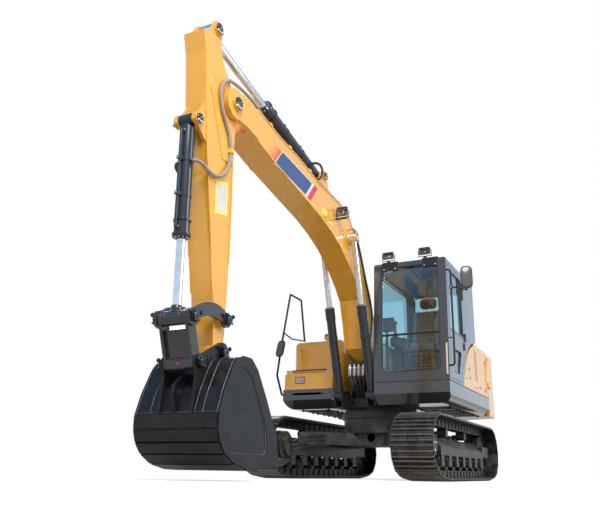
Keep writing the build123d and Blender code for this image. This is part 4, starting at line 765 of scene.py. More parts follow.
class EXCAVATOR_OT_tracks(Operator):
    """Lay both loops: triple-grouser shoes with their bolts, and the chain of links and pins under them"""

    bl_idname = "excavator.tracks"
    bl_label = "Tracks"

    def execute(self, context):
        size = context.scene.excavator_track
        for side in ("left", "right"):
            low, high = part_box(f"track_{side}")
            y, width = (low[1] + high[1]) / 2, high[1] - low[1]
            shoes, bolts, chain = track_parts(size, y, width)
            plates = piece(f"track_{side}_shoes", shoes, "shoe_steel", "undercarriage")
            # the tips of the grousers are worn bright
            height = shoe_shape(1.0, 1.0, size)[0][:, 2]
            worn = np.clip((height - size.grouser * 0.7) / (size.grouser * 0.3), 0, 1)
            wear = plates.data.attributes.new("wear", "FLOAT", "POINT")
            wear.data.foreach_set("value", np.tile(worn, size.shoes).astype(np.float32))
            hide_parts(f"track_{side}")
            piece(f"track_{side}_bolts", bolts, "shoe_steel", "undercarriage")
            piece(f"track_{side}_chain", chain, "undercarriage_coat", "undercarriage")
        for name in ("track_frame_left", "track_frame_right", "bottom_rollers", "carrier_rollers", "idlers",
                     "sprockets", "centre_frame", "slewing_ring"):
            finish_node(name, "undercarriage_coat")
        return {"FINISHED"}


# ---------------------------------------------------------------- carried-over nodes
NODE_FINISH = {
    "yellow_coat": ("boom", "arm", "counterweight", "fuel_tank", "toolbox", "toolbox_lid", "left_side_door",
                    "right_side_door", "engine_hood"),
    "charcoal_coat": ("deck_left", "deck_right", "cab_body", "cab_roof", "cab_door"),
    "black_coat": ("revolving_frame", "handrails", "cab_rail", "screen_bar", "engine_room", "manifold", "exhaust"),
    "cylinder_coat": ("boom_cylinder_barrel", "arm_cylinder_barrel", "bucket_cylinder_barrel", "boom_pipes"),
    "bucket_coat": ("bucket", "bucket_teeth"),
    "link_coat": ("bucket_link", "bucket_rocker"),
    "chrome": ("boom_cylinder_rod", "arm_cylinder_rod", "bucket_cylinder_rod"),
    "glass": ("windscreen", "cab_side_glass", "door_glass"),
    "trim": ("cab_controls",),
    "iron": ("engine",),
}


class EXCAVATOR_OT_nodes(Operator):
    """Give every carried-over node its finish"""

    bl_idname = "excavator.nodes"
    bl_label = "Node finishes"

    def execute(self, context):
        for look, members in NODE_FINISH.items():
            for name in members:
                finish_node(name, look)
        return {"FINISHED"}


# ---------------------------------------------------------------- working equipment
def at(x, z, out=0.0):
    """A place by its X and Z and its distance from the working equipment's plane."""
    return np.array([x, BOOM_Y + out, z])


def pin_place(joint):
    return PIN[joint][0], PIN[joint][2]


# half widths over the side plates of boom and arm, and over the bucket's rims
BOOM_HALF, ARM_HALF, RIM_HALF = 0.155, 0.117, 0.4125
BOOM_EYE = (1.400, 3.060)
ARM_EYE = (4.587, 4.220)
ROD_PIN = (4.770, 1.293)
# columns: X and Z, reach of the outer face from the plane, pin radius, body, finish
PIN_ENDS = (
    (pin_place("boom_lift"), 0.2053, 0.062, "upper", "black_coat"),
    (pin_place("boom_cylinder_tilt"), 0.2983, 0.046, "upper", "black_coat"),
    (pin_place("arm_swing"), 0.2070, 0.060, "boom", "cylinder_coat"),
    (pin_place("arm_cylinder_tilt"), 0.1320, 0.044, "boom", "cylinder_coat"),
    (BOOM_EYE, 0.2763, 0.052, "boom", "yellow_coat"),
    (ARM_EYE, 0.1320, 0.052, "arm", "cylinder_coat"),
    (pin_place("bucket_cylinder_tilt"), 0.1240, 0.044, "arm", "cylinder_coat"),
    (ROD_PIN, 0.2040, 0.038, "bucket_rocker", "link_coat"),
    (pin_place("rocker_swing"), 0.2040, 0.038, "bucket_rocker", "link_coat"),
    (pin_place("bucket_curl"), 0.2060, 0.042, "bucket", "link_coat"),
    (pin_place("link_swing"), 0.2060, 0.036, "bucket", "link_coat"),
)


def pin_head(radius):
    """A pin's end, standing on Z = 0: a chamfered disc with a shallow cup."""
    return turned([(radius, -0.002), (radius, 0.011), (radius * 0.88, 0.016), (radius * 0.4, 0.016),
                   (radius * 0.36, 0.012)], 28)


def pin_fasteners(radius):
    """Keeper bar with two bolts, and the grease fitting in the pin's middle."""
    bar = prism(rounded_rectangle(radius * 0.95, radius * 0.2, radius * 0.1, 4), 0.009, 0.021)
    bar = placed(bar, (0, -radius * 0.82, 0))
    heads = repeated(bolt(radius * 0.34), [(s * radius * 0.62, -radius * 0.82, 0.021) for s in (-1, 1)])
    nipple = turned([(0.0075, 0.011), (0.0075, 0.020), (0.0045, 0.022), (0.0058, 0.026), (0.003, 0.031)], 10)
    return joined(bar, heads, nipple)


def cross_bolt(radius):
    """Bolt through a collar, square to its pin: shank, head and nut, lying above the pin's middle."""
    lying = basis((1, 0, 0))
    shank = placed(turned([(0.009, -radius * 1.5), (0.009, radius * 1.5)], 12), (0, radius * 0.9, 0.006), lying)
    ends = [placed(bolt(0.030), (radius * 1.28, radius * 0.9, 0.006), lying),
            placed(bolt(0.030), (-radius * 1.28, radius * 0.9, 0.006), basis((-1, 0, 0)))]
    return joined(shank, *ends)


class EXCAVATOR_OT_pins(Operator):
    """Fit both ends of every pin with its head, keeper, bolts and grease fitting"""

    bl_idname = "excavator.pins"
    bl_label = "Pins"

    def execute(self, context):
        heads, fasteners = {}, {}
        for place, reach, radius, body, look in PIN_ENDS:
            for side in (-1, 1):
                axes = basis((0, side, 0))
                spot = at(*place, side * reach)
                heads.setdefault((body, look), []).append(placed(pin_head(radius), spot, axes))
                fixings = pin_fasteners(radius)
                if body.startswith("bucket"):
                    fixings = joined(fixings, cross_bolt(radius))
                fasteners.setdefault(body, []).append(placed(fixings, spot, axes))
        for (body, look), shapes in heads.items():
            slot = "bucket_black" if body.startswith("bucket") else "cylinder_black"
            piece(f"pin_heads_{body}_{look}", shapes, look, body, smooth=True)
        for body, shapes in fasteners.items():
            look, slot = ("link_coat", "bucket_black") if body.startswith("bucket") else ("zinc", "rod_chrome")
            piece(f"pin_keepers_{body}", shapes, look, body, bevel=0.0008, steps=1)
        # red plugs in the linkage's grease holes
        plug = turned([(0.011, -0.002), (0.011, 0.004), (0.007, 0.009), (0.003, 0.010)], 14)
        front = basis((0.98, 0, 0.2))
        spots = [at(ROD_PIN[0] + 0.062, ROD_PIN[1] + 0.016, y) for y in (-0.075, 0.075)]
        piece("rod_eye_plugs", repeated(placed(plug, (0, 0, 0), front), spots), "red_cap",
              "bucket_cylinder_rod", smooth=True)
        # black sleeve over the bucket cylinder's rod eye and neck, and the link's web up to it
        foot = pin_place("bucket_cylinder_tilt")
        up = basis((foot[0] - ROD_PIN[0], 0, foot[1] - ROD_PIN[1]), (0, 1, 0))
        eye = turned([(0.0605, -0.1186), (0.0638, -0.1160), (0.0638, 0.1160), (0.0605, 0.1186)], 40)
        neck = turned([(0.052, 0.045), (0.052, 0.092), (0.046, 0.104), (0.0385, 0.108)], 36)
        sleeve = joined(placed(eye, at(*ROD_PIN), basis((0, 1, 0))), placed(neck, at(*ROD_PIN), up))
        piece("rod_eye_sleeve", sleeve, "link_coat", "bucket_cylinder_rod", smooth=True)
        low = pin_place("link_swing")
        run = np.array([low[0] - ROD_PIN[0], 0, low[1] - ROD_PIN[1]])
        web = prism(rounded_rectangle(0.022, 0.119, 0.004, 3), 0.094, 0.180)
        web = placed(web, at(*ROD_PIN), basis(run, (0, 1, 0)))
        piece("link_web", web, "link_coat", "bucket_link", bevel=0.003)
        piece("link_plug", placed(plug, at(low[0] + 0.061, low[1] - 0.010, 0.0), basis((1, 0, -0.15))),
              "red_cap", "bucket_link", smooth=True)
        return {"FINISHED"}


# columns: name, barrel's body, rod's eye, offsets from the plane, gland from the foot, radii of barrel, rod and gland
CYLINDERS = (
    ("boom_cylinder", "boom_cylinder_barrels", BOOM_EYE, (-0.23, 0.23), 1.184, 0.060, 0.038, 0.0605),
    ("arm_cylinder", "arm_cylinder_barrel", ARM_EYE, (0.0,), 1.410, 0.074, 0.042, 0.088),
    ("bucket_cylinder", "bucket_cylinder_barrel", ROD_PIN, (0.0,), 1.130, 0.064, 0.038, 0.077),
)
# the hard line's two clamps, as shares of the way from the foot to the gland
CLAMP_SHARES = (0.36, 0.66)


def gland_shape(barrel, rod, gland, wide):
    """Flange, wiper lip and step ring at the barrel's open end, along Z from the foot."""
    flange = hoop([(rod * 1.06, gland - 0.040), (wide - 0.004, gland - 0.040), (wide + 0.005, gland - 0.036),
                   (wide + 0.005, gland - 0.006), (wide - 0.001, gland + 0.002), (rod * 1.45, gland + 0.002),
                   (rod * 1.35, gland + 0.016), (rod * 1.06, gland + 0.018)])
    step = hoop([(barrel - 0.004, gland - 0.172), (wide + 0.003, gland - 0.160), (wide + 0.003, gland - 0.146),
                 (barrel - 0.004, gland - 0.144)])
    return joined(flange, step)


def strap(barrel, height):
    """Clamp band round the barrel with its ears and bolt on the hard line's side."""
    ring = hoop([(barrel - 0.003, height - 0.016), (barrel + 0.005, height - 0.016), (barrel + 0.005, height + 0.016),
                 (barrel - 0.003, height + 0.016)], 32)
    block = slab(-barrel - 0.052, -barrel + 0.002, -0.018, 0.018, height - 0.016, height + 0.016)
    return joined(ring, block)


class EXCAVATOR_OT_cylinders(Operator):
    """Fit the cylinders with glands, bolt rings, clamps and their hard lines"""

    bl_idname = "excavator.cylinders"
    bl_label = "Cylinders"

    def execute(self, context):
        for name, body, eye, offsets, gland, barrel, rod, wide in CYLINDERS:
            foot = pin_place(f"{name}_tilt")
            run = np.array([eye[0] - foot[0], 0.0, eye[1] - foot[1]])
            axes = basis(run, (0, 1, 0))
            unit = axes[:, 2]
            # the line lies on the barrel's far side from local X
            out = -axes[:, 0]
            dark, bright, lines = [], [], []
            for offset in offsets:
                base = at(*foot, offset)
                parts = [gland_shape(barrel, rod, gland, wide), *(strap(barrel, gland * k) for k in CLAMP_SHARES)]
                dark += [placed(shape, base, axes) for shape in parts]
                ring = spun(base + unit * (gland + 0.002), unit, barrel * 0.86, 10)
                bright.append(bolts_at(ring, unit, 0.017))
                for share in CLAMP_SHARES:
                    bright.append(bolts_at([base + unit * gland * share + out * (barrel + 0.052)], out, 0.016))
                low, high = 0.13, gland - 0.075
                lift = ((barrel * 0.7, low), (barrel + 0.026, low), (barrel + 0.032, low + 0.05),
                        (barrel + 0.032, (low + high) / 2), (barrel + 0.032, high - 0.05),
                        (barrel + 0.028, high), (barrel * 0.8, high))
                stops = [base + unit * z + out * r for r, z in lift]
                lines.append(tube(smooth_path(stops, 6), 0.012, 12))
                ports = [base + unit * z + out * (barrel - 0.006) for z in (low, high)]
                dark.append(repeated(placed(turned([(0.026, 0), (0.026, 0.016), (0.018, 0.024)], 16), (0, 0, 0),
                                            basis(out)), ports))
            piece(f"{name}_glands", dark, "cylinder_coat", body, smooth=True)
            piece(f"{name}_bolts", bright, "zinc", body)
            piece(f"{name}_lines", lines, "cylinder_coat", body, smooth=True)
        return {"FINISHED"}


# corner, run along the boom and rise of the coloured band, in X and Z
BAND_CORNER, BAND_RUN, BAND_RISE = np.array([(2.695, 3.186), (0.750, 0.075), (-0.180, 0.220)])


def band_patch(s0, s1, t0, t1, side, lift):
    """A slanted patch of the band between two shares of its run and two of its rise, standing off the side."""
    corners = [(s0, t0), (s1, t0), (s1, t1), (s0, t1)]
    outline = [BAND_CORNER + BAND_RUN * s + BAND_RISE * t for s, t in corners]
    face = BOOM_HALF - 0.0005
    y0, y1 = sorted((BOOM_Y + side * face, BOOM_Y + side * (face + lift)))
    return xz_plate(ccw(outline), y0, y1)


class EXCAVATOR_OT_band(Operator):
    """Lay the plain coloured band on both sides of the boom, and blank plates on boom and arm"""

    bl_idname = "excavator.band"
    bl_label = "Coloured band"

    def execute(self, context):
        plates = {}

        def keep(body, look, shape):
            plates.setdefault((body, look), []).append(shape)

        # the arm plate's corners
        corners = np.array([(4.262, 2.367), (4.461, 2.325), (4.475, 2.648), (4.276, 2.700)])
        middle = corners.mean(axis=0)
        for side in (-1, 1):
            keep("boom", "plate_white", band_patch(-0.075, 1.015, -0.03, 1.03, side, 0.0010))
            keep("boom", "band_blue", band_patch(0.0, 1.0, 0.03, 0.97, side, 0.0016))
            keep("boom", "band_red", band_patch(-0.20, -0.075, -0.03, 1.03, side, 0.0012))
            for column in range(6):
                size = 0.036 - 0.0045 * column
                centre = 1.045 + 0.040 * column
                s0, s1 = centre - size / 2, centre + size / 2
                for row in range(6):
                    t = (row + 0.5 + 0.25 * (column % 2)) / 6.5
                    keep("boom", "band_red", band_patch(s0, s1, t - size * 1.8, t + size * 1.8, side, 0.0010))
            y0, y1 = sorted(BOOM_Y + side * (BOOM_HALF + lift) for lift in (-0.0005, 0.005))
            for x, z, half_x, half_z in ((2.155, 3.160, 0.062, 0.042), (1.975, 3.075, 0.055, 0.016)):
                keep("boom", "plate_yellow", xz_plate(rounded_rectangle(half_x, half_z, 0.008, 4) + (x, z), y0, y1))
            # border and blank field
            for look, share, proud in (("plate_yellow", 1.0, 0.0018), ("plate_white", 0.8, 0.0026)):
                y0, y1 = sorted(BOOM_Y + side * (ARM_HALF + lift) for lift in (-0.0005, proud))
                keep("arm", look, xz_plate(ccw(middle + (corners - middle) * share), y0, y1))
        for (body, look), shapes in plates.items():
            piece(f"{body}_{look}", shapes, look, body)
        return {"FINISHED"}


# the boom's and arm's edges that carry a flange, in X and Z
BOOM_UNDER = ((3.880, 3.365), (3.440, 3.268), (2.850, 3.162), (2.285, 3.062), (1.987, 2.982), (1.660, 2.858),
              (1.320, 2.650), (1.130, 2.500), (0.955, 2.330), (0.850, 2.000), (0.800, 1.780))
BOOM_BACK = ((0.280, 1.780), (0.840, 2.710), (0.975, 2.955), (1.258, 3.257), (1.431, 3.384), (1.668, 3.441),
             (2.291, 3.475), (2.846, 3.569), (3.344, 3.617), (3.754, 3.690), (3.860, 3.693))
ARM_FRONT = ((4.480, 1.920), (4.564, 2.415), (4.642, 2.879), (4.655, 2.980))
ARM_REAR = ((4.213, 3.000), (4.204, 2.552), (4.198, 1.920))
# where the link's cheeks pass outside the arm
ARM_FRONT_LOW = ((4.425, 1.600), (4.480, 1.920))
ARM_REAR_LOW = ((4.198, 1.920), (4.203, 1.600))


def flange(edge, depth, y0, y1):
    """A flat strip along an edge: at each corner a rectangle between the edge and its offset inwards."""
    line = np.asarray(edge, float)
    run = np.diff(line, axis=0)
    run /= np.hypot(*run.T)[:, None]
    sides = np.column_stack([-run[:, 1], run[:, 0]])
    first = np.vstack([sides[:1], sides])
    second = np.vstack([sides, sides[-1:]])
    bend = first + second
    inward = bend / (bend * first).sum(axis=1)[:, None]
    outer, inner = line - inward * 0.0006, line + inward * depth
    corners = ((outer, y0), (outer, y1), (inner, y1), (inner, y0))
    return loft(np.stack([at_y(edge, y) for edge, y in corners], axis=1))


def turned_out(thing):
    """Makes the faces of a closed piece point outwards."""
    work = bmesh.new()
    work.from_mesh(thing.data)
    bmesh.ops.recalc_face_normals(work, faces=work.faces)
    work.to_mesh(thing.data)
    work.free()
    return thing


def bead(stops, radius=0.0045, pitch=0.011):
    """A run of weld along a line: a tube whose radius rises and falls with each ripple."""
    stops = np.asarray(stops, float)
    leg = np.linalg.norm(np.diff(stops, axis=0), axis=1)
    walked = np.concatenate([[0], np.cumsum(leg)])
    along = np.arange(0, walked[-1], pitch / 3)
    path = np.column_stack([np.interp(along, walked, stops[:, i]) for i in range(3)])
    across = (1.0, 0.0, 0.0) if abs(stops[-1] - stops[0])[1] > 0.05 else (0.0, 1.0, 0.0)
    return tube(path, radius * (1 + 0.22 * np.sin(2 * pi * along / pitch)), 6, across)


def rounded_line(points, radii, steps=7):
    """A polyline whose corners are arcs: each starts r tan(a/2) before its corner, a being the turn there."""
    p = np.asarray(points, float)
    out = [p[:1]]
    for before, corner, after, radius in zip(p, p[1:], p[2:], np.broadcast_to(radii, (len(p) - 2,))):
        a, b = corner - before, after - corner
        a, b = a / np.hypot(*a), b / np.hypot(*b)
        turn = np.arctan2(a[0] * b[1] - a[1] * b[0], a @ b)
        left = np.array([-a[1], a[0]]) * np.sign(turn)
        centre = corner - a * radius * np.tan(abs(turn) / 2) + left * radius
        swept = np.linspace(0, turn, steps)[:, None]
        arm = -left * radius
        out.append(centre + np.cos(swept) * arm + np.sin(swept) * np.array([-arm[1], arm[0]]))
    return np.vstack([*out, p[-1:]])


BUCKET_BACK = rounded_line([(4.216, 1.012), (4.370, 1.016), (4.470, 0.975), (4.530, 0.880), (4.625, 0.700),
                            (4.690, 0.520), (4.690, 0.400), (4.655, 0.300)], 0.150)
BUCKET_RING = ((4.330, 0.930), (4.440, 0.860), (4.590, 0.620), (4.650, 0.480), (4.640, 0.400), (4.560, 0.260),
               (4.480, 0.215), (3.960, 0.215), (3.925, 0.260), (3.925, 0.420), (4.030, 0.620), (4.200, 0.860),
               (4.330, 0.930))


class EXCAVATOR_OT_plates(Operator):
    """Edge flanges of boom and arm, and the runs of weld on the bucket"""

    bl_idname = "excavator.plates"
    bl_label = "Flanges and welds"

    def execute(self, context):
        for name, body, (front, back), half, proud in (
                ("boom", "boom", (BOOM_UNDER, BOOM_BACK), BOOM_HALF, 0.007),
                ("arm", "arm", (ARM_FRONT, ARM_REAR), ARM_HALF, 0.009),
                ("arm_low", "arm", (ARM_FRONT_LOW, ARM_REAR_LOW), ARM_HALF, 0.0022)):
            strips = []
            for line in (front[::-1], back):
                for side in (-1, 1):
                    y0, y1 = BOOM_Y + side * (half - 0.002), BOOM_Y + side * (half + proud)
                    strips.append(flange(line, 0.013, y0, y1))
            turned_out(piece(f"{name}_flanges", strips, "yellow_coat", body))
        # along the outer wear strips, the inner ones and the back's joint, then round both sides
        seams = [bead(at_y(BUCKET_BACK[4:-6], BOOM_Y + out)) for out in (-0.262, 0.262)]
        seams += [bead(at_y(BUCKET_BACK[8:-4], BOOM_Y + out)) for out in (-0.400, -0.183, 0.183, 0.400)]
        x, z = BUCKET_BACK[np.abs(BUCKET_BACK[:, 1] - 0.53).argmin()] + (0.002, 0.0)
        seams.append(bead([at(x, z, -0.410), at(x, z, 0.410)]))
        seams += [bead(at_y(BUCKET_RING, BOOM_Y + side * RIM_HALF), 0.0055) for side in (-1, 1)]
        piece("bucket_welds", seams, "weld", "bucket", smooth=True)
        return {"FINISHED"}


LINE_OUT = 0.134  # distance of the boom's hard lines from the plane
FITTINGS_X = 0.650


def clamp_shape():
    """Saddle over a hard line, along Z, with its foot towards -Y."""
    outline = [(-0.032, -0.024), (0.032, -0.024), (0.032, -0.008), (0.024, 0.014), (0.012, 0.024), (-0.012, 0.024),
               (-0.024, 0.014), (-0.032, -0.008)]
    return prism(outline, -0.022, 0.022)


def route(stops, side):
    """Stops of X, Z and distance from the plane as places on one side of it."""
    return [at(x, z, side * out) for x, z, out in stops]


def hose_end(radius):
    """Crimped sleeve and swivel nut of a hose's end, from Z = 0 up."""
    sleeve = turned([(radius * 1.16, 0.0), (radius * 1.24, 0.004), (radius * 1.24, 0.012), (radius * 1.14, 0.015),
                     (radius * 1.24, 0.018), (radius * 1.24, 0.030), (radius * 1.12, 0.034), (radius * 0.8, 0.036),
                     (radius * 0.8, 0.044)], 20)
    nut = layered([(hexagon(radius * k), z) for k, z in ((2.6, 0.042), (2.8, 0.046), (2.8, 0.068), (2.5, 0.073))])
    return joined(sleeve, nut)


class EXCAVATOR_OT_hoses(Operator):
    """Clamps on the boom's hard lines, and the hoses at its foot, round the arm's pivot and at the cylinders"""

    bl_idname = "excavator.hoses"
    bl_label = "Hoses"

    def execute(self, context):
        clamps, arm_clamps, heads = [], [], []
        back = np.array(BOOM_BACK[3:-1])
        for a, b in zip(back, back[1:]):
            middle, run = (a + b) / 2, (b - a) / np.hypot(*(b - a))
            normal = np.array([-run[1], run[0]])
            lift = middle + (-0.008, 0.030)
            upwards = (normal[0], 0, normal[1])
            for out in (-LINE_OUT, LINE_OUT):
                clamps.append(placed(clamp_shape(), at(*lift, out), basis((run[0], 0, run[1]), upwards)))
                top = at(*(lift + normal * 0.024), out)
                heads.append(bolts_at([top], upwards, 0.018))
        for side in (-1, 1):
            # boom's hard line, over the pivot, to a clamp on the arm, and on to the bucket cylinder
            hand, tint = ("left", "grey_hose") if side > 0 else ("right", "black_hose")
            over = [(3.735, 3.712, 0.134), (3.840, 3.752, 0.138), (4.006, 3.775, 0.142), (4.233, 3.768, 0.150),
                    (4.420, 3.728, 0.152), (4.505, 3.620, 0.150), (4.513, 3.500, 0.148), (4.468, 3.376, 0.146),
                    (4.391, 3.265, 0.144), (4.323, 3.160, 0.142), (4.285, 3.020, 0.140)]
            strand(f"arm_hose_{hand}", route(over, side),
                   0.018, tint, between=("boom", "arm", at(4.0, 3.76, side * 0.14), at(4.35, 3.25, side * 0.14)))
            down = [(4.285, 3.020, 0.140), (4.290, 2.930, 0.140), (4.337, 2.815, 0.141), (4.430, 2.705, 0.142),
                    (4.542, 2.660, 0.144), (4.650, 2.668, 0.146), (4.740, 2.700, 0.138), (4.785, 2.715, 0.105),
                    (4.789, 2.716, 0.074)]
            strand(f"bucket_hose_{hand}", route(down, side),
                   0.018, tint, across=(0.3, 0.2, 1.0),
                   between=("arm", "bucket_cylinder_barrel", at(4.60, 2.66, side * 0.14),
                            at(4.78, 2.71, side * 0.14)))
            axes = basis((0, 0, 1), (0, side, 0))
            arm_clamps.append(placed(clamp_shape(), at(4.285, 3.020, side * 0.143), axes))
            # arm cylinder's foot to the hard line
            loop = [(2.360, 3.750, 0.070), (2.352, 3.752, 0.125), (2.318, 3.735, 0.165), (2.280, 3.680, 0.180),
                    (2.270, 3.610, 0.172), (2.310, 3.545, 0.150), (2.400, 3.524, 0.136)]
            strand(f"arm_cylinder_hose_{hand}", route(loop, side),
                   0.015, "black_hose", across=(0.3, 0.0, 1.0),
                   between=("arm_cylinder_barrel", "boom", at(2.34, 3.75, side * 0.15), at(2.275, 3.64, side * 0.18)))
            # from the foot's fittings round the boom's side to the back
            rise = [(0.650, 1.470, 0.030), (0.672, 1.530, 0.060), (0.700, 1.600, 0.120), (0.712, 1.680, 0.166),
                    (0.700, 1.800, 0.174), (0.640, 1.980, 0.174), (0.600, 2.180, 0.174), (0.680, 2.400, 0.174),
                    (0.820, 2.620, 0.174), (0.960, 2.870, 0.174), (1.080, 3.060, 0.174), (1.180, 3.200, 0.165),
                    (1.250, 3.290, 0.136)]
            strand(f"foot_line_{hand}", route(rise, side),
                   0.015, "black_hose", "boom", across=(0.8, 0.6, -0.4))
            # short line over the boom cylinder's eye
            arch = [(1.400, 3.066, 0.290), (1.425, 3.110, 0.296), (1.438, 3.150, 0.270), (1.445, 3.165, 0.215),
                    (1.450, 3.150, 0.157)]
            strand(f"eye_line_{hand}", route(arch, side),
                   0.005, "black_hose", "boom", across=(1.0, 0.3, 0.0), sides=8)
        piece("boom_clamps", clamps, "yellow_coat", "boom", bevel=0.003)
        piece("arm_clamps", arm_clamps, "yellow_coat", "arm", bevel=0.003)
        piece("boom_clamp_bolts", heads, "zinc", "boom")
        # bulkhead under the boom's foot with four fittings, and the hoses from it down to the deck
        bar = placed(prism(rounded_rectangle(0.121, 0.020, 0.006, 3), -0.018, 0.018), (0.640, -0.103, 1.492),
                     np.column_stack([(0, 1, 0), (0, 0, 1), (1, 0, 0)]))
        lugs = [slab(0.500, 0.650, y - 0.010, y + 0.010, 1.475, 1.508) for y in (-0.16, 0.0)]
        piece("foot_bulkhead", joined(bar, *lugs), "black_coat", "boom", bevel=0.003)
        ends = []
        nut = turned([(0.023, 0), (0.026, 0.004), (0.026, 0.052), (0.020, 0.058)], 20)
        for y in (-0.200, -0.135, -0.070, -0.005):
            ends += [placed(hose_end(0.019), (FITTINGS_X, y, 1.392)),
                     placed(hose_end(0.017), (FITTINGS_X, y, 1.500), np.diag([1.0, -1.0, -1.0])),
                     placed(nut, (FITTINGS_X, y, 1.342))]
            drop = [(FITTINGS_X, y, 1.350), (FITTINGS_X, y, 1.300), (0.640, y * 0.8, 1.230),
                    (0.590, y * 0.6 - 0.03, 1.150), (0.530, y * 0.6 - 0.03, 1.090), (0.500, y * 0.6 - 0.03, 1.045)]
            strand(f"foot_hose_{round(-y * 1000)}", drop, 0.016, "black_hose",
                   between=("upper", "boom", (0.53, -0.06, 1.10), (0.65, -0.06, 1.36)))
        piece("foot_fittings", ends, "zinc", "boom", smooth=True)
        return {"FINISHED"}


# ---------------------------------------------------------------- upper structure
def drawn_in(outline, depth):
    """A closed anticlockwise outline moved inwards: each corner along the mean of its two edges' normals, by the
    depth over the cosine of half its turn."""
    p = np.asarray(outline, float)
    run = np.roll(p, -1, axis=0) - p
    run /= np.hypot(*run.T)[:, None]
    inward = np.column_stack([-run[:, 1], run[:, 0]])
    bend = np.roll(inward, 1, axis=0) + inward
    return p + bend / (bend * inward).sum(axis=1)[:, None] * depth


def rim(outline, out, inner, low, high):
    """A closed strip along an outline, from a distance outside it to one inside it."""
    wide, narrow = drawn_in(outline, -out), drawn_in(outline, inner)
    points, _ = layered([(wide, low), (wide, high), (narrow, high), (narrow, low)])
    return points, ring_faces(4, len(wide), close_rows=True)


def on_wall(points, normal, radius):
    """An outline in a wall's own two directions from places along the wall and heights, with rounded corners."""
    flat = np.asarray(points, float) * (basis(normal)[:, 0].sum(), 1.0)
    flat = ccw(flat)
    middle = (flat[0] + flat[-1]) / 2
    return rounded_line([middle, *flat, middle], radius, 5)[:-1]


def wall_shape(shape, normal, reach):
    """A shape made in a wall's own directions, set on the wall that lies at a reach along its normal."""
    return placed(shape, np.asarray(normal, float) * reach, basis(normal))


def cup(half_x, half_y, radius, steps):
    """A hollow box whose sections are rounded rectangles: columns are the share of its size, inset and height."""
    return layered([(rounded_rectangle(half_x * k - d, half_y * k - d, radius * k, 4), z) for k, d, z in steps])


# how far out the faces of the cab's left side, the service doors and the toolbox lie
CAB_FACE, DOOR_FACE, BOX_FACE = 1.245, 1.268, 0.620
# columns: name, node it replaces, body, middle of the lens, half width, half height, drop of its stem
WORK_LAMPS = (
    ("roof_lamps", "cab_lamps", "upper", ((0.776, 0.432, 2.955), (0.776, 0.950, 2.958)), 0.078, 0.047, 0.064),
    ("boom_lamp", "boom_lamp", "boom", ((1.826, 0.192, 3.275),), 0.074, 0.057, 0.024),
)


def lamp_parts(half_x, half_y, drop):
    """Housing, bezel, reflector, lens, bulb and yoke of a work lamp that faces +Z with +Y up."""
    housing = cup(half_x, half_y, 0.018, (
        (0.50, 0.0, -0.062), (0.82, 0.0, -0.040), (1.0, 0.0, -0.014), (1.0, 0.0, 0.0), (1.0, 0.006, 0.0),
        (0.52, 0.006, -0.042)))
    bezel = rim(rounded_rectangle(half_x, half_y, 0.018, 5), 0.004, 0.010, -0.005, 0.006)
    bowl = cup(half_x, half_y, 0.016, (
        (0.53, 0.005, -0.044), (1.0, 0.0066, -0.006), (1.0, 0.0086, -0.006), (0.50, 0.005, -0.0425)))
    lens = cup(half_x, half_y, 0.016, ((1.0, 0.0080, -0.004), (1.0, 0.0080, 0.001), (0.86, 0.006, 0.004)))
    bulb = turned([(0.012, -0.044), (0.012, -0.030), (0.008, -0.021), (0.002, -0.018)], 16)
    side = half_x + 0.010
    yoke = [slab(s * side - 0.0025, s * side + 0.0025, -half_y - 0.020, 0.012, -0.030, -0.008) for s in (-1, 1)]
    yoke.append(slab(-side - 0.0025, side + 0.0025, -half_y - 0.024, -half_y - 0.019, -0.030, -0.008))
    yoke.append(slab(-0.020, 0.020, -half_y - drop, -half_y - 0.020, -0.032, -0.006))
    heads = [bolts_at([(s * (side + 0.0025), 0.0, -0.019)], (s, 0, 0), 0.013) for s in (-1, 1)]
    return {"trim": joined(housing, bezel), "reflector": bowl, "lens": lens, "zinc": joined(bulb, *heads),
            "black_coat": joined(*yoke)}


class EXCAVATOR_OT_lamps(Operator):
    """Work lamps on the cab's roof and on the boom, with reflector, lens and yoke"""

    bl_idname = "excavator.lamps"
    bl_label = "Work lamps"

    def execute(self, context):
        axes = basis((1, 0, 0))
        for name, node, body, places, half_x, half_y, drop in WORK_LAMPS:
            parts = lamp_parts(half_x, half_y, drop)
            for look, shape in parts.items():
                every = joined(*(placed(shape, p, axes) for p in places))
                made = piece(f"{name}_{look}", every, look, body,
                             bevel=0.0015 if look == "black_coat" else 0, smooth=True)
                if look == "trim":
                    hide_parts(node)
        hook = [(0.8400, 2.712), (0.8530, 2.712), (0.8460, 2.832), (0.8380, 2.8415), (0.7300, 2.8415),
                (0.7300, 2.8355), (0.8330, 2.8355)]
        plates = [xz_plate(hook, y0, y1) for y0, y1 in ((0.365, 0.585), (0.930, 1.140))]
        piece("lamp_brackets", plates, "black_coat", "upper", bevel=0.003)
        heads = [(0.8535, y, 2.735) for y in (0.395, 0.555, 0.960, 1.110)]
        piece("lamp_bracket_bolts", bolts_at(heads, (1, 0, 0.05), 0.016), "zinc", "upper")
        cable = [(1.792, 0.192, 3.262), (1.752, 0.188, 3.255), (1.722, 0.168, 3.285), (1.716, 0.120, 3.330),
                 (1.724, 0.100, 3.400)]
        strand("lamp_cable", cable, 0.004, "black_hose", "boom", across=(0.2, 0.4, 1.0), sides=8)
        shelf = slab(1.770, 1.822, 0.096, 0.246, 3.187, 3.193)
        piece("boom_lamp_shelf", shelf, "black_coat", "boom", bevel=0.0015)
        return {"FINISHED"}


# left and right: middle of its glass, heading of its back, half width, half height, corner
MIRRORS = (
    ((0.805, 1.500, 2.520), (0.94, 0.34, 0.0), 0.074, 0.148, 0.060),
    ((0.716, -1.262, 1.785), (0.95, -0.12, 0.28), 0.062, 0.128, 0.056),
)


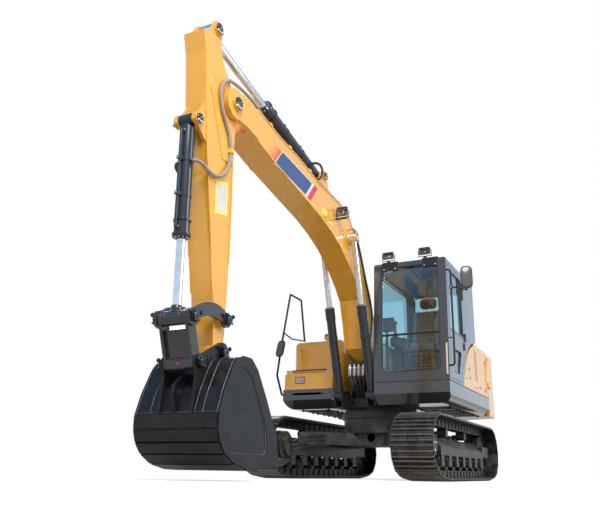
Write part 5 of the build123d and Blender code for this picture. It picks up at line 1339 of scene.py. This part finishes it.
class EXCAVATOR_OT_mirrors(Operator):
    """Both mirrors: domed housing, rim, glass, and the left one's arm and clamps"""

    bl_idname = "excavator.mirrors"
    bl_label = "Mirrors"

    def execute(self, context):
        housings, pads, glasses = [], [], []
        for middle, heading, *size in MIRRORS:
            for kept, steps in (
                    (housings, ((1.0, 0.0, -0.018), (1.0, -0.002, -0.012), (1.0, -0.002, 0.004), (0.97, 0.0, 0.011),
                                (0.93, 0.004, 0.013))),
                    (pads, ((0.90, 0.004, 0.011), (0.90, 0.004, 0.0145), (0.70, 0.004, 0.0185),
                            (0.30, 0.004, 0.020))),
                    (glasses, ((0.97, 0.004, -0.0195), (0.97, 0.004, -0.015)))):
                kept.append(placed(cup(*size, steps), middle, basis(heading)))
        arms = [tube(smooth_path([(0.839, 1.318, 2.395), (0.830, 1.380, 2.388), (0.812, 1.460, 2.362),
                                  (0.804, 1.492, 2.352), (0.803, 1.498, 2.395)], 6), 0.010, 10),
                tube(smooth_path([(0.700, -1.295, 1.800), (0.704, -1.285, 1.795), (0.708, -1.270, 1.790)], 4), 0.010,
                     10, (0, 0, 1))]
        shells = piece("mirror_housings", housings, "trim", "upper", smooth=True)
        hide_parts("mirrors")
        piece("mirror_backs", pads, "mirror_back", "upper", smooth=True)
        piece("mirror_glass", glasses, "mirror", "upper")
        piece("mirror_arms", arms, "black_coat", "upper", smooth=True)
        clamps = [slab(0.818, 0.860, 1.280, 1.324, 2.372, 2.418), slab(0.796, 0.812, 1.484, 1.506, 2.370, 2.398),
                  slab(0.848, 0.866, 1.244, 1.304, 1.728, 1.744)]
        piece("mirror_clamps", clamps, "trim", "upper", bevel=0.003)
        bolts = [(0.8600, 1.302, z) for z in (2.384, 2.406)]
        piece("mirror_clamp_bolts", bolts_at(bolts, (1, 0, 0), 0.010), "zinc", "upper")
        return {"FINISHED"}


# columns: body, outward direction, reach of the pane's face, corner radius, the opening's corners; the rows are
# the door's upper and lower pane, the right side's and the rear one
PANES = (
    ("cab_door", (0, 1, 0), 1.2250, 0.030, ((0.735, 1.880), (0.700, 2.690), (0.070, 2.690), (0.070, 1.880))),
    ("cab_door", (0, 1, 0), 1.2250, 0.012,
     ((0.690, 1.330), (0.660, 1.640), (0.240, 1.640), (0.330, 1.440), (0.350, 1.330))),
    ("upper", (0, -1, 0), -0.2570, 0.030,
     ((0.690, 1.760), (0.640, 2.690), (-0.560, 2.690), (-0.560, 2.010), (-0.300, 2.010), (0.060, 1.760))),
    ("upper", (-1, 0, 0), 0.6680, 0.040, ((0.345, 2.060), (1.145, 2.060), (1.145, 2.690), (0.345, 2.690))),
)
# how far the windscreen leans back for each metre of its height
SCREEN_LEAN = 0.05495


class EXCAVATOR_OT_cab(Operator):
    """The cab's seals, joint strips, latches, screen knobs, painted-highlight bar and blank label"""

    bl_idname = "excavator.cab"
    bl_label = "Cab trim"

    def execute(self, context):
        seals = {"upper": [], "cab_door": []}
        for body, normal, reach, corner, points in PANES:
            low = 0.0005 if body == "upper" else 0.0
            seal = rim(on_wall(points, normal, corner), -0.0008, 0.015, low, 0.009)
            seals[body].append(wall_shape(seal, normal, reach))
        front = basis((1.0, 0.0, SCREEN_LEAN))
        foot = np.array([0.925 + SCREEN_LEAN * 1.197, 0.0, 0.0])
        middle = (0.745, 1.327)
        corners = [(1.140, 1.327), (1.140, 2.765), (0.350, 2.765), (0.350, 1.327)]
        outline = rounded_line([middle, *corners, middle], (0.085, 0.02, 0.02, 0.085))[:-1]
        seals["upper"].append(placed(rim(outline, -0.0008, 0.013, -0.0135, -0.003), foot, front))
        # black strips: the cab's foot, the belt line, and the joint of the roof
        seals["upper"] += [slab(0.9150, 0.9445, 0.2530, 1.2480, 1.1955, 1.2060),
                           slab(-1.380, 0.9300, 1.2400, 1.2480, 1.1930, 1.2010),
                           slab(-0.690, 0.8365, 0.2430, 0.2475, 2.7690, 2.7760)]
        for body, shapes in seals.items():
            piece(f"{body}_seals", shapes, "rubber", body, smooth=True)
        door = [slab(0.030, 0.800, 1.2450, 1.2462, 1.8560, 1.8640),
                slab(0.165, 0.190, 1.2255, 1.2400, 1.8900, 2.6800),
                slab(0.004, 0.022, 1.2450, 1.2560, 2.4150, 2.5600),
                slab(0.520, 0.650, 1.2450, 1.2458, 1.3300, 1.3360)]
        piece("door_strips", door, "rubber", "cab_door", bevel=0.001)
        # lock with its lever, set over a shallow bowl on the door's rear edge
        bowl = turned([(0.034, -0.001), (0.034, 0.003), (0.028, 0.005), (0.024, 0.002)], 28)
        lever = prism(rounded_rectangle(0.012, 0.058, 0.010, 4), 0.006, 0.015)
        lock = wall_shape(placed(joined(bowl, lever), (-0.070, 1.750, 0)), (0, 1, 0), CAB_FACE)
        piece("door_lock", lock, "trim", "cab_door", smooth=True)
        knob = turned([(0.007, -0.002), (0.007, 0.004), (0.016, 0.005), (0.017, 0.012), (0.013, 0.014)], 20)
        spots = [foot + front @ np.array([y, 1.713 * 1.0015, -0.0142]) for y in (0.420, 1.022)]
        piece("screen_knobs", repeated(placed(knob, (0, 0, 0), front), spots), "trim", "upper",
              smooth=True)
        label = prism(rounded_rectangle(0.040, 0.020, 0.004, 3), -0.0139, -0.0132)
        piece("screen_label", placed(placed(label, (0.470, 2.725, 0)), foot, front), "plate_white", "upper")
        # pale bar with black end caps at the cab's front corner: a painted highlight that stands for the sun's
        # reflection on the pillar's rounded corner
        bar = smooth_path([(0.914, 1.212, 1.262), (0.930, 1.218, 1.268), (0.936, 1.220, 1.300), (0.926, 1.220, 1.465),
                           (0.916, 1.220, 1.625), (0.908, 1.218, 1.655), (0.892, 1.212, 1.660)], 5)
        piece("grab_bar", tube(bar, 0.0125, 16), "pale_bar", "upper", smooth=True)
        caps = [placed(turned([(0.022, -0.004), (0.022, 0.010), (0.017, 0.016), (0.013, 0.018)], 20), p, front)
                for p in ((0.9175, 1.213, 1.262), (0.8975, 1.213, 1.660))]
        piece("grab_bar_feet", caps, "trim", "upper", smooth=True)
        return {"FINISHED"}


TANK_CAP = (0.060, -0.800, 2.050)
STUD_PITCH = 0.045  # distance between the treads' studs
BELLY_Z = 0.9265  # underside of the plates below the deck


class EXCAVATOR_OT_doors(Operator):
    """Locks, latches and blank plates of the service doors, tank and toolbox, and the treads"""

    bl_idname = "excavator.doors"
    bl_label = "Doors and tank"

    def execute(self, context):
        lock = turned([(0.019, -0.001), (0.019, 0.004), (0.015, 0.006), (0.006, 0.006), (0.005, 0.003)], 24)
        latch = prism(rounded_rectangle(0.008, 0.022, 0.005, 3), -0.001, 0.006)
        for side, body in ((1, "left_side_door"), (-1, "right_side_door")):
            normal = (0, side, 0)
            places = ((-0.692, 1.275), (-1.335, 1.345))
            shapes = [wall_shape(placed(lock, (-side * x, z, 0)), normal, DOOR_FACE) for x, z in places]
            if side > 0:
                shapes += [wall_shape(placed(latch, (0.078, z, 0)), normal, DOOR_FACE) for z in (1.462, 1.345)]
            piece(f"{body}_locks", shapes, "trim", body, smooth=True)
            blank = prism(rounded_rectangle(0.062, 0.024, 0.004, 3), -0.0005, 0.0008)
            blank = wall_shape(placed(blank, (side * 1.250, 1.292, 0)), normal, DOOR_FACE)
            piece(f"{body}_plate", blank, "plate_white", body)
        # tank's cap with its ribs, on the neck
        a = np.linspace(0, 2 * pi, 96, endpoint=False)
        ribbed = 0.050 + 0.0022 * np.sign(np.sin(24 * a))
        ring = np.column_stack([ribbed * np.cos(a), ribbed * np.sin(a)])
        cap = joined(prism(ring, 0.0, 0.022), turned([(0.049, 0.022), (0.043, 0.027), (0.020, 0.028)], 32))
        piece("tank_cap", placed(cap, TANK_CAP), "trim", "upper", smooth=True)
        # toolbox: blank plate in its frame, and the black nosing along the lid's front edge
        field = on_wall(((-1.059, 1.281), (-0.911, 1.281), (-0.911, 1.375), (-1.059, 1.375)), (1, 0, 0), 0.006)
        plate = wall_shape(prism(field, -0.0005, 0.001), (1, 0, 0), BOX_FACE)
        piece("toolbox_plate", plate, "plate_grey", "upper")
        edge = wall_shape(rim(field, 0.001, 0.006, -0.0005, 0.0018), (1, 0, 0), BOX_FACE)
        piece("toolbox_plate_edge", edge, "trim", "upper")
        nosing = slab(0.5560, 0.5630, -1.140, -0.590, 1.4640, 1.4830)
        piece("lid_nosing", nosing, "trim", "toolbox_lid", bevel=0.0025)
        # raised studs of the treads on the lid and the tank
        stud = turned([(0.011, -0.001), (0.009, 0.0028), (0.0055, 0.0028), (0.005, 0.0008)], 10)
        for name, body, xs, ys, z in (("lid", "toolbox_lid", (0.350, 0.530), (-1.130, -0.600), 1.480),
                                      ("tank", "upper", (-0.500, 0.000), (-1.150, -0.620), 1.950)):
            rows = [np.linspace(low, high, round((high - low) / STUD_PITCH) + 1) for low, high in (xs, ys)]
            x, y = np.meshgrid(*rows, indexing="ij")
            spots = np.column_stack([x.ravel(), y.ravel(), np.full(x.size, z)])
            if name == "tank":
                spots = spots[np.hypot(spots[:, 0] - TANK_CAP[0], spots[:, 1] - TANK_CAP[1]) > 0.09]
            piece(f"{name}_tread", repeated(stud, spots), "tread", body)
        # plates bolted under the deck
        plates, heads = [], []
        for x0, x1 in ((-1.330, -0.950), (-0.850, -0.550), (-0.450, -0.150), (-0.050, 0.350)):
            for y0, y1 in ((0.560, 1.110), (-1.110, -0.640)):
                corners = [(x, y) for x in (x0 + 0.035, x1 - 0.035) for y in (y0 + 0.035, y1 - 0.035)]
                plates.append(slab(x0, x1, y0, y1, BELLY_Z, BELLY_Z + 0.004))
                heads += [(x, y, BELLY_Z) for x, y in corners]
        piece("belly_plates", plates, "belly_coat", "upper", bevel=0.001)
        piece("belly_bolts", bolts_at(heads, (0, 0, -1), 0.030), "black_coat", "upper")
        return {"FINISHED"}


# ---------------------------------------------------------------- inside the cab
SEAT_Y = 0.745
BACK_FACING = (0.976, 0.0, 0.219)
# columns: name, middle of its resting face, facing, half width, half length, thickness, corner, seam shares
PADS = (
    ("seat_cushion", (0.318, SEAT_Y, 1.646), (0, 0, 1), 0.236, 0.236, 0.104, 0.060, (-0.56, 0.56)),
    ("seat_back", (0.006, SEAT_Y, 1.998), BACK_FACING, 0.226, 0.318, 0.100, 0.080, (-0.56, 0.56)),
    ("seat_headrest", (-0.070, SEAT_Y, 2.418), (0.99, 0.0, 0.12), 0.120, 0.072, 0.074, 0.050, (0.0,)),
)


def settled(thing):
    """Puts the result of a piece's modifiers into its mesh."""
    result = bpy.data.meshes.new_from_object(thing.evaluated_get(bpy.context.evaluated_depsgraph_get()))
    thing.modifiers.clear()
    thing.data = result
    return thing


def places_of(mesh):
    spots = np.empty(len(mesh.vertices) * 3, np.float32)
    mesh.vertices.foreach_get("co", spots)
    return spots.reshape(-1, 3).astype(float)


def set_places(mesh, spots):
    mesh.vertices.foreach_set("co", np.ascontiguousarray(spots, np.float32).ravel())
    mesh.update()


SWELL_FRAMES = 20


def stuff(thing, held, reach):
    """Swells a piece by pressure from inside; where it rests it is held, and no point moves past a reach:
    p' = p + d min(1, reach / |d|), with d the simulated move."""
    scene = bpy.context.scene
    before = places_of(thing.data)
    grip = thing.vertex_groups.new(name="held")
    grip.add(np.flatnonzero(held).tolist(), 1.0, "REPLACE")
    cloth = thing.modifiers.new("stuffing", "CLOTH")
    cloth.settings.use_pressure = True
    cloth.settings.uniform_pressure_force = 4.0
    cloth.settings.effector_weights.gravity = 0.0
    cloth.settings.vertex_group_mass = "held"
    for step in range(1, SWELL_FRAMES + 1):
        scene.frame_set(step)
    swollen = thing.evaluated_get(bpy.context.evaluated_depsgraph_get()).to_mesh()
    move = places_of(swollen) - before
    length = np.maximum(np.linalg.norm(move, axis=1), 1e-9)
    thing.modifiers.remove(cloth)
    set_places(thing.data, before + move * np.minimum(1, reach / length)[:, None])
    scene.frame_set(1)


def pad(name, origin, facing, half_x, half_y, thick, corner, seams):
    """A cushion: a crowned block evened out by voxels, stuffed, rounded, then drawn in along its sewn channels
    by depth times exp(-(d / width)^2), with a piped edge raised the same way round its sides."""
    axes = basis(facing, (0, 0, 1))
    shares = ((0.90, 0.0), (0.985, 0.12), (1.0, 0.45), (0.985, 0.80), (0.90, 1.0))
    block = layered([(rounded_rectangle(half_x * k, half_y * k, corner * k, 8), thick * t) for k, t in shares])
    thing = piece(name, placed(block, origin, axes), "seat_cloth", "upper", smooth=True)
    even = thing.modifiers.new("even", "REMESH")
    even.mode = "VOXEL"
    even.voxel_size = 0.009
    even.use_smooth_shade = True
    settled(thing)
    local = (places_of(thing.data) - origin) @ axes
    stuff(thing, local[:, 2] < thick * 0.12, 0.022)
    fine = thing.modifiers.new("fine", "SUBSURF")
    fine.levels = fine.render_levels = 1
    settled(thing)
    local = (places_of(thing.data) - origin) @ axes
    x, y, z = local.T
    depth, width = 0.009, 0.006
    top = np.clip((z / thick - 0.55) / 0.3, 0, 1)
    inside = np.clip((1 - np.abs(y) / half_y) / 0.12, 0, 1)
    groove = sum(np.exp(-((x - share * half_x) / width) ** 2) for share in seams)
    for share in (-0.34, 0.0, 0.34):
        middle = np.abs(x) < half_x * 0.56
        groove = groove + np.exp(-((y - share * half_y) / width) ** 2) * middle * (len(seams) > 1)
    local[:, 2] -= depth * np.minimum(groove, 1) * top * inside
    side = np.column_stack([x / half_x, y / half_y]) ** 5
    side /= np.maximum(np.hypot(*side.T), 1e-6)[:, None]
    edge = np.maximum(np.abs(x) / half_x, np.abs(y) / half_y) > 0.9
    local[:, :2] += side * (0.004 * np.exp(-((z / thick - 0.74) * thick / 0.005) ** 2) * edge)[:, None]
    set_places(thing.data, local @ axes.T + origin)
    thing.data.materials.clear()
    thing.data.materials.append(finish("seat_cloth"))
    thing.data.shade_smooth()
    return thing


def bellows(low_radius, high_radius, height, folds):
    """A folded rubber boot about Z: its radius falls evenly with height, plus a ripple of a few millimetres."""
    t = np.linspace(0, 1, folds * 4 + 1)
    r = low_radius + (high_radius - low_radius) * t + 0.0045 * np.cos(2 * pi * folds * t)
    return turned(np.column_stack([r, t * height]), 24)


class EXCAVATOR_OT_inside(Operator):
    """Seat, mat, linings, boots, pedals and monitor inside the cab"""

    bl_idname = "excavator.inside"
    bl_label = "Inside the cab"

    def execute(self, context):
        for index, columns in enumerate(PADS):
            made = pad(*columns)
            if index == 0:
                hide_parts("seat")
        # suspension under the cushion, hinge plates, and the headrest's posts
        t = np.linspace(0, 1, 29)
        grow = 1 + 0.045 * np.cos(2 * pi * 7 * t)
        skirt = layered([(rounded_rectangle(0.165 * g, 0.155 * g, 0.04), 1.285 + 0.30 * k) for g, k in zip(grow, t)])
        piece("seat_bellows", placed(skirt, (0.330, SEAT_Y, 0.0)), "rubber", "upper",
              smooth=True)
        plates = [slab(0.130, 0.520, SEAT_Y - 0.200, SEAT_Y + 0.200, 1.596, 1.640),
                  slab(0.130, 0.520, SEAT_Y - 0.190, SEAT_Y + 0.190, 1.250, 1.284),
                  *(slab(-0.020, 0.130, y - 0.006, y + 0.006, 1.600, 1.760)
                    for y in (SEAT_Y - 0.215, SEAT_Y + 0.215))]
        posts = [tube(smooth_path([(-0.086, y, 2.300), (-0.088, y, 2.330), (-0.086, y, 2.400)], 4), 0.006, 10)
                 for y in (SEAT_Y - 0.05, SEAT_Y + 0.05)]
        shell = placed(prism(rounded_rectangle(0.215, 0.305, 0.075, 6), -0.016, 0.004), (0.006, SEAT_Y, 1.998),
                       basis(BACK_FACING))
        piece("seat_frame", joined(*plates, shell), "trim", "upper", bevel=0.005)
        piece("headrest_posts", posts, "zinc", "upper", smooth=True)
        ribs = [slab(-0.600, 0.840, y - 0.006, y + 0.006, 1.2490, 1.2540) for y in np.arange(0.345, 1.180, 0.042)]
        piece("floor_mat", joined(slab(-0.610, 0.855, 0.310, 1.195, 1.2422, 1.2500), *ribs), "floor_mat", "upper")
        wall = [(-0.600, 1.255), (0.845, 1.255), (0.830, 1.735), (0.070, 1.735), (-0.290, 1.985), (-0.600, 1.985)]
        panels = [xz_plate(wall, 0.2902, 0.302), slab(-0.6345, -0.622, 0.320, 1.180, 1.255, 2.035)]
        piece("wall_lining", panels, "lining", "upper", bevel=0.004)
        piece("ceiling", slab(-0.600, 0.790, 0.300, 1.192, 2.7160, 2.7272), "ceiling", "upper",
              bevel=0.004)
        boots = [placed(bellows(0.040, 0.017, 0.075, 4), (0.506, SEAT_Y + s, 1.858)) for s in (-0.33, 0.33)]
        boots += [placed(bellows(0.040, 0.016, 0.085, 4), (0.690, SEAT_Y + s, 1.250)) for s in (-0.075, 0.075)]
        piece("lever_boots", boots, "rubber", "upper", smooth=True)
        pedal = prism(rounded_rectangle(0.055, 0.085, 0.012, 4), 0.0, 0.012)
        grips = [slab(-0.048, 0.048, y - 0.004, y + 0.004, 0.011, 0.016) for y in np.arange(-0.06, 0.07, 0.02)]
        tilt = basis((-0.5, 0, 0.86), (1, 0, 0.5))
        pedals = [placed(joined(pedal, *grips), (0.740, SEAT_Y + s, 1.330), tilt) for s in (-0.105, 0.105)]
        piece("pedals", pedals, "rubber", "upper", bevel=0.001)
        screen = slab(0.6975, 0.7003, 0.332, 0.458, 1.918, 2.072)
        piece("monitor_screen", screen, "screen", "upper")
        button = turned([(0.008, -0.001), (0.008, 0.005), (0.006, 0.0065)], 14)
        spots = [(x, SEAT_Y - 0.33 + y, 1.860) for x in (0.250, 0.290, 0.330, 0.370) for y in (-0.022, 0.022)]
        piece("console_buttons", repeated(button, spots), "zinc", "upper", smooth=True)
        return {"FINISHED"}


# ---------------------------------------------------------------- undercarriage
# X of the sprockets, with the idlers as far behind; height of both axles; how far out the roller ends and the
# hubs' faces lie
AXLE_X, AXLE_Z = 1.445, 0.400
ROLLER_END, HUB_FACE = 1.119, 1.160
ROLLER_X = np.linspace(-1.05, 1.05, 7)
# columns: reach of the face, radius of the bolt ring, bolts, head width
HUB_RINGS = ((HUB_FACE, 0.092, 12, 0.020), (1.115, 0.145, 16, 0.024))


class EXCAVATOR_OT_under(Operator):
    """Bolt rings of the sprocket hubs, travel motors and slewing ring, roller caps and bolts, and motor hoses"""

    bl_idname = "excavator.under"
    bl_label = "Undercarriage fittings"

    def execute(self, context):
        heads, caps, plugs = [], [], []
        cap = turned([(0.034, -0.002), (0.034, 0.006), (0.026, 0.010), (0.010, 0.010), (0.009, 0.006)], 24)
        plug = turned([(0.017, -0.001), (0.017, 0.006), (0.012, 0.009), (0.011, 0.005), (0.004, 0.005)], 18)
        for side in (-1, 1):
            hand = "left" if side > 0 else "right"
            out, inwards = (0, side, 0), (0, -side, 0)
            axes = basis(out)
            for reach, radius, count, width in HUB_RINGS:
                heads.append(bolts_at(spun((AXLE_X, side * reach, AXLE_Z), out, radius, count), out, width))
            for turn in (0.5, 2.6, 4.7):
                spot = (AXLE_X + 0.055 * cos(turn), side * HUB_FACE, AXLE_Z + 0.055 * sin(turn))
                plugs.append(placed(plug, spot, axes))
            spots = [(x, side * ROLLER_END, 0.206) for x in ROLLER_X]
            caps.append(repeated(placed(cap, (0, 0, 0), axes), spots))
            caps.append(placed(cap, (-AXLE_X, side * ROLLER_END, AXLE_Z), axes))
            pairs = [(x + dx, side * ROLLER_END, 0.262) for x in ROLLER_X for dx in (-0.045, 0.045)]
            heads.append(bolts_at(pairs, out, 0.022))
            # motor's own bolts face the middle of the machine
            ring = spun((AXLE_X, side * 0.750, AXLE_Z), inwards, 0.150, 12)
            heads.append(bolts_at(ring, inwards, 0.020))
            for z, lean in ((0.455, 0.0), (0.400, 0.03), (0.345, 0.0)):
                route = [(1.430, 0.700, z), (1.425, 0.655, z + 0.004), (1.370 - lean, 0.610, z + 0.03),
                         (1.220, 0.585, z + 0.055), (1.020, 0.560, z + 0.075), (0.800, 0.510, z + 0.090)]
                strand(f"motor_hose_{hand}_{round(z * 1000)}", np.array(route) * (1, side, 1), 0.013, "black_hose",
                       "undercarriage", across=(0.1, 0.2, 1.0))
        heads.append(bolts_at(spun((0, 0, 0.8005), (0, 0, -1), 0.535, 36), (0, 0, -1), 0.016))
        piece("under_bolts", heads, "undercarriage_coat", "undercarriage")
        piece("roller_caps", caps, "undercarriage_coat", "undercarriage", smooth=True)
        piece("hub_plugs", plugs, "zinc", "undercarriage", smooth=True)
        return {"FINISHED"}


# ---------------------------------------------------------------- stage
def view_axes(stage):
    """Columns right, up and back of the camera, from its yaw, pitch and roll."""
    ahead = np.array([cos(stage.yaw) * cos(stage.pitch), sin(stage.yaw) * cos(stage.pitch), sin(stage.pitch)])
    right = np.array([sin(stage.yaw), -cos(stage.yaw), 0.0])
    up = np.cross(right, ahead)
    c, s = cos(stage.roll), sin(stage.roll)
    return np.column_stack([c * right + s * up, c * up - s * right, -ahead])


def studio_world(strength):
    """Even light from all round; gloss and glass see a white horizon under a pale blue sky."""
    world = bpy.data.worlds.new("studio")
    bpy.context.scene.world = world
    world.use_nodes = True
    tree = world.node_tree
    tree.nodes.clear()
    sight = add(tree, "LightPath")
    height = add(tree, "SeparateXYZ", Vector=add(tree, "TexCoord").outputs["Generated"]).outputs["Z"]
    sky = mixed(tree, ramp(tree, height, 0.0, 0.7), (0.80, 0.90, 1.0), (0.26, 0.46, 0.78))
    ground = mixed(tree, ramp(tree, height, -0.35, -0.02), (0.30, 0.28, 0.26), (0.80, 0.80, 0.80))
    seen = mixed(tree, math(tree, "GREATER_THAN", height, 0.0), ground, sky)
    tone = mixed(tree, sight.outputs["Is Glossy Ray"], (1.0, 1.0, 1.0), seen)
    shown = math(tree, "ADD", sight.outputs["Is Camera Ray"], sight.outputs["Is Transmission Ray"])
    shown = math(tree, "ADD", shown, sight.outputs["Is Glossy Ray"], clamp=True)
    level = scaled(tree, shown, 1.0 - strength, strength)
    add(tree, "OutputWorld", Surface=add(tree, "Background", Color=tone, Strength=level).outputs[0])


def lamp(name, place, aim, width, power, colour=(1.0, 1.0, 1.0)):
    data = bpy.data.lights.new(name, "AREA")
    data.shape = "DISK"
    data.size = width
    data.energy = power
    data.color = colour
    thing = bpy.data.objects.new(name, data)
    turn = basis(np.asarray(place, float) - np.asarray(aim, float))
    thing.matrix_world = Matrix.Translation(place) @ Matrix(turn.tolist()).to_4x4()
    bpy.context.scene.collection.objects.link(thing)


def floor_material():
    """Pale floor: warm and matt to the light, lifted to white for the camera and glass, and fading into the
    backdrop with the distance from the machine."""
    material, tree, shader = blank("pale_floor")
    coords = object_coords(tree)
    sight = add(tree, "LightPath")
    straight = math(tree, "ADD", sight.outputs["Is Camera Ray"], sight.outputs["Is Transmission Ray"], clamp=True)
    shown = scaled(tree, sight.outputs["Is Glossy Ray"], 0.12, product(tree, straight, 0.66))
    wire(tree, shader, Roughness=0.9, Specular_IOR_Level=0.0, Emission_Color=(1.0, 1.0, 1.0, 1.0),
         Emission_Strength=shown,
         Base_Color=mixed(tree, noise(tree, coords, 0.8, 3.0), (0.50, 0.47, 0.44), (0.54, 0.51, 0.48)))
    away = add(tree, "VectorMath", Vector=coords, operation="LENGTH").outputs["Value"]
    far = product(tree, ramp(tree, away, 5.0, 12.0), straight)
    both = add(tree, "MixShader", Fac=far)
    tree.links.new(shader.outputs[0], both.inputs[1])
    tree.links.new(add(tree, "Emission", Strength=1.0).outputs[0], both.inputs[2])
    wire(tree, tree.nodes["Material Output"], Surface=both.outputs[0])
    return material


class EXCAVATOR_OT_stage(Operator):
    """Lay the pale floor and set the lamps, the world and the camera"""

    bl_idname = "excavator.stage"
    bl_label = "Stage"

    def execute(self, context):
        scene = context.scene
        stage = scene.excavator_stage
        reach = 40.0
        points = np.array([(-reach, -reach, 0), (reach, -reach, 0), (reach, reach, 0), (-reach, reach, 0)], float)
        mesh = bpy.data.meshes.new("floor")
        mesh.from_pydata(points.tolist(), [], [(0, 1, 2, 3)])
        mesh.materials.append(floor_material())
        floor = bpy.data.objects.new("floor", mesh)
        scene.collection.objects.link(floor)
        studio_world(stage.sky)
        middle = (1.2, 0.0, 1.6)
        lamp("key", (9.0, 4.5, 9.0), middle, 6.0, 900.0 * stage.key, (1.0, 0.97, 0.93))
        lamp("side", (-1.0, 11.0, 6.0), middle, 7.0, 620.0 * stage.key, (0.93, 0.96, 1.0))
        lamp("back", (-8.0, -8.0, 8.0), middle, 6.0, 520.0 * stage.key)
        data = bpy.data.cameras.new("camera")
        data.sensor_width = 36.0
        data.lens = stage.lens
        data.clip_end = 200.0
        camera = bpy.data.objects.new("camera", data)
        camera.matrix_world = Matrix.Translation(stage.eye) @ Matrix(view_axes(stage).tolist()).to_4x4()
        scene.collection.objects.link(camera)
        scene.camera = camera
        scene.view_settings.view_transform = "Standard"
        return {"FINISHED"}


class EXCAVATOR_PT_panel(Panel):
    bl_label = "Excavator"
    bl_idname = "EXCAVATOR_PT_panel"
    bl_space_type = "VIEW_3D"
    bl_region_type = "UI"
    bl_category = "Excavator"

    def draw(self, context):
        scene = context.scene
        for name in SETTINGS:
            box = self.layout.box()
            settings = getattr(scene, name)
            for label in settings.__annotations__:
                box.prop(settings, label)
        for step in STEPS:
            self.layout.operator(step.bl_idname)


STEPS = (
    EXCAVATOR_OT_nodes,
    EXCAVATOR_OT_tracks,
    EXCAVATOR_OT_pins,
    EXCAVATOR_OT_cylinders,
    EXCAVATOR_OT_band,
    EXCAVATOR_OT_plates,
    EXCAVATOR_OT_hoses,
    EXCAVATOR_OT_lamps,
    EXCAVATOR_OT_mirrors,
    EXCAVATOR_OT_cab,
    EXCAVATOR_OT_doors,
    EXCAVATOR_OT_inside,
    EXCAVATOR_OT_under,
    EXCAVATOR_OT_stage,
)
SETTINGS = {"excavator_looks": ExcavatorLooks, "excavator_track": TrackSizes, "excavator_stage": StageSizes}
CLASSES = (*SETTINGS.values(), *STEPS, EXCAVATOR_PT_panel)


def register():
    for item in CLASSES:
        bpy.utils.register_class(item)
    for name, item in SETTINGS.items():
        setattr(bpy.types.Scene, name, PointerProperty(type=item))


def unregister():
    for name in SETTINGS:
        delattr(bpy.types.Scene, name)
    for item in reversed(CLASSES):
        bpy.utils.unregister_class(item)


def main():
    register()
    for step in STEPS:
        area, call = step.bl_idname.split(".")
        getattr(getattr(bpy.ops, area), call)()


if __name__ == "__main__":
    main()
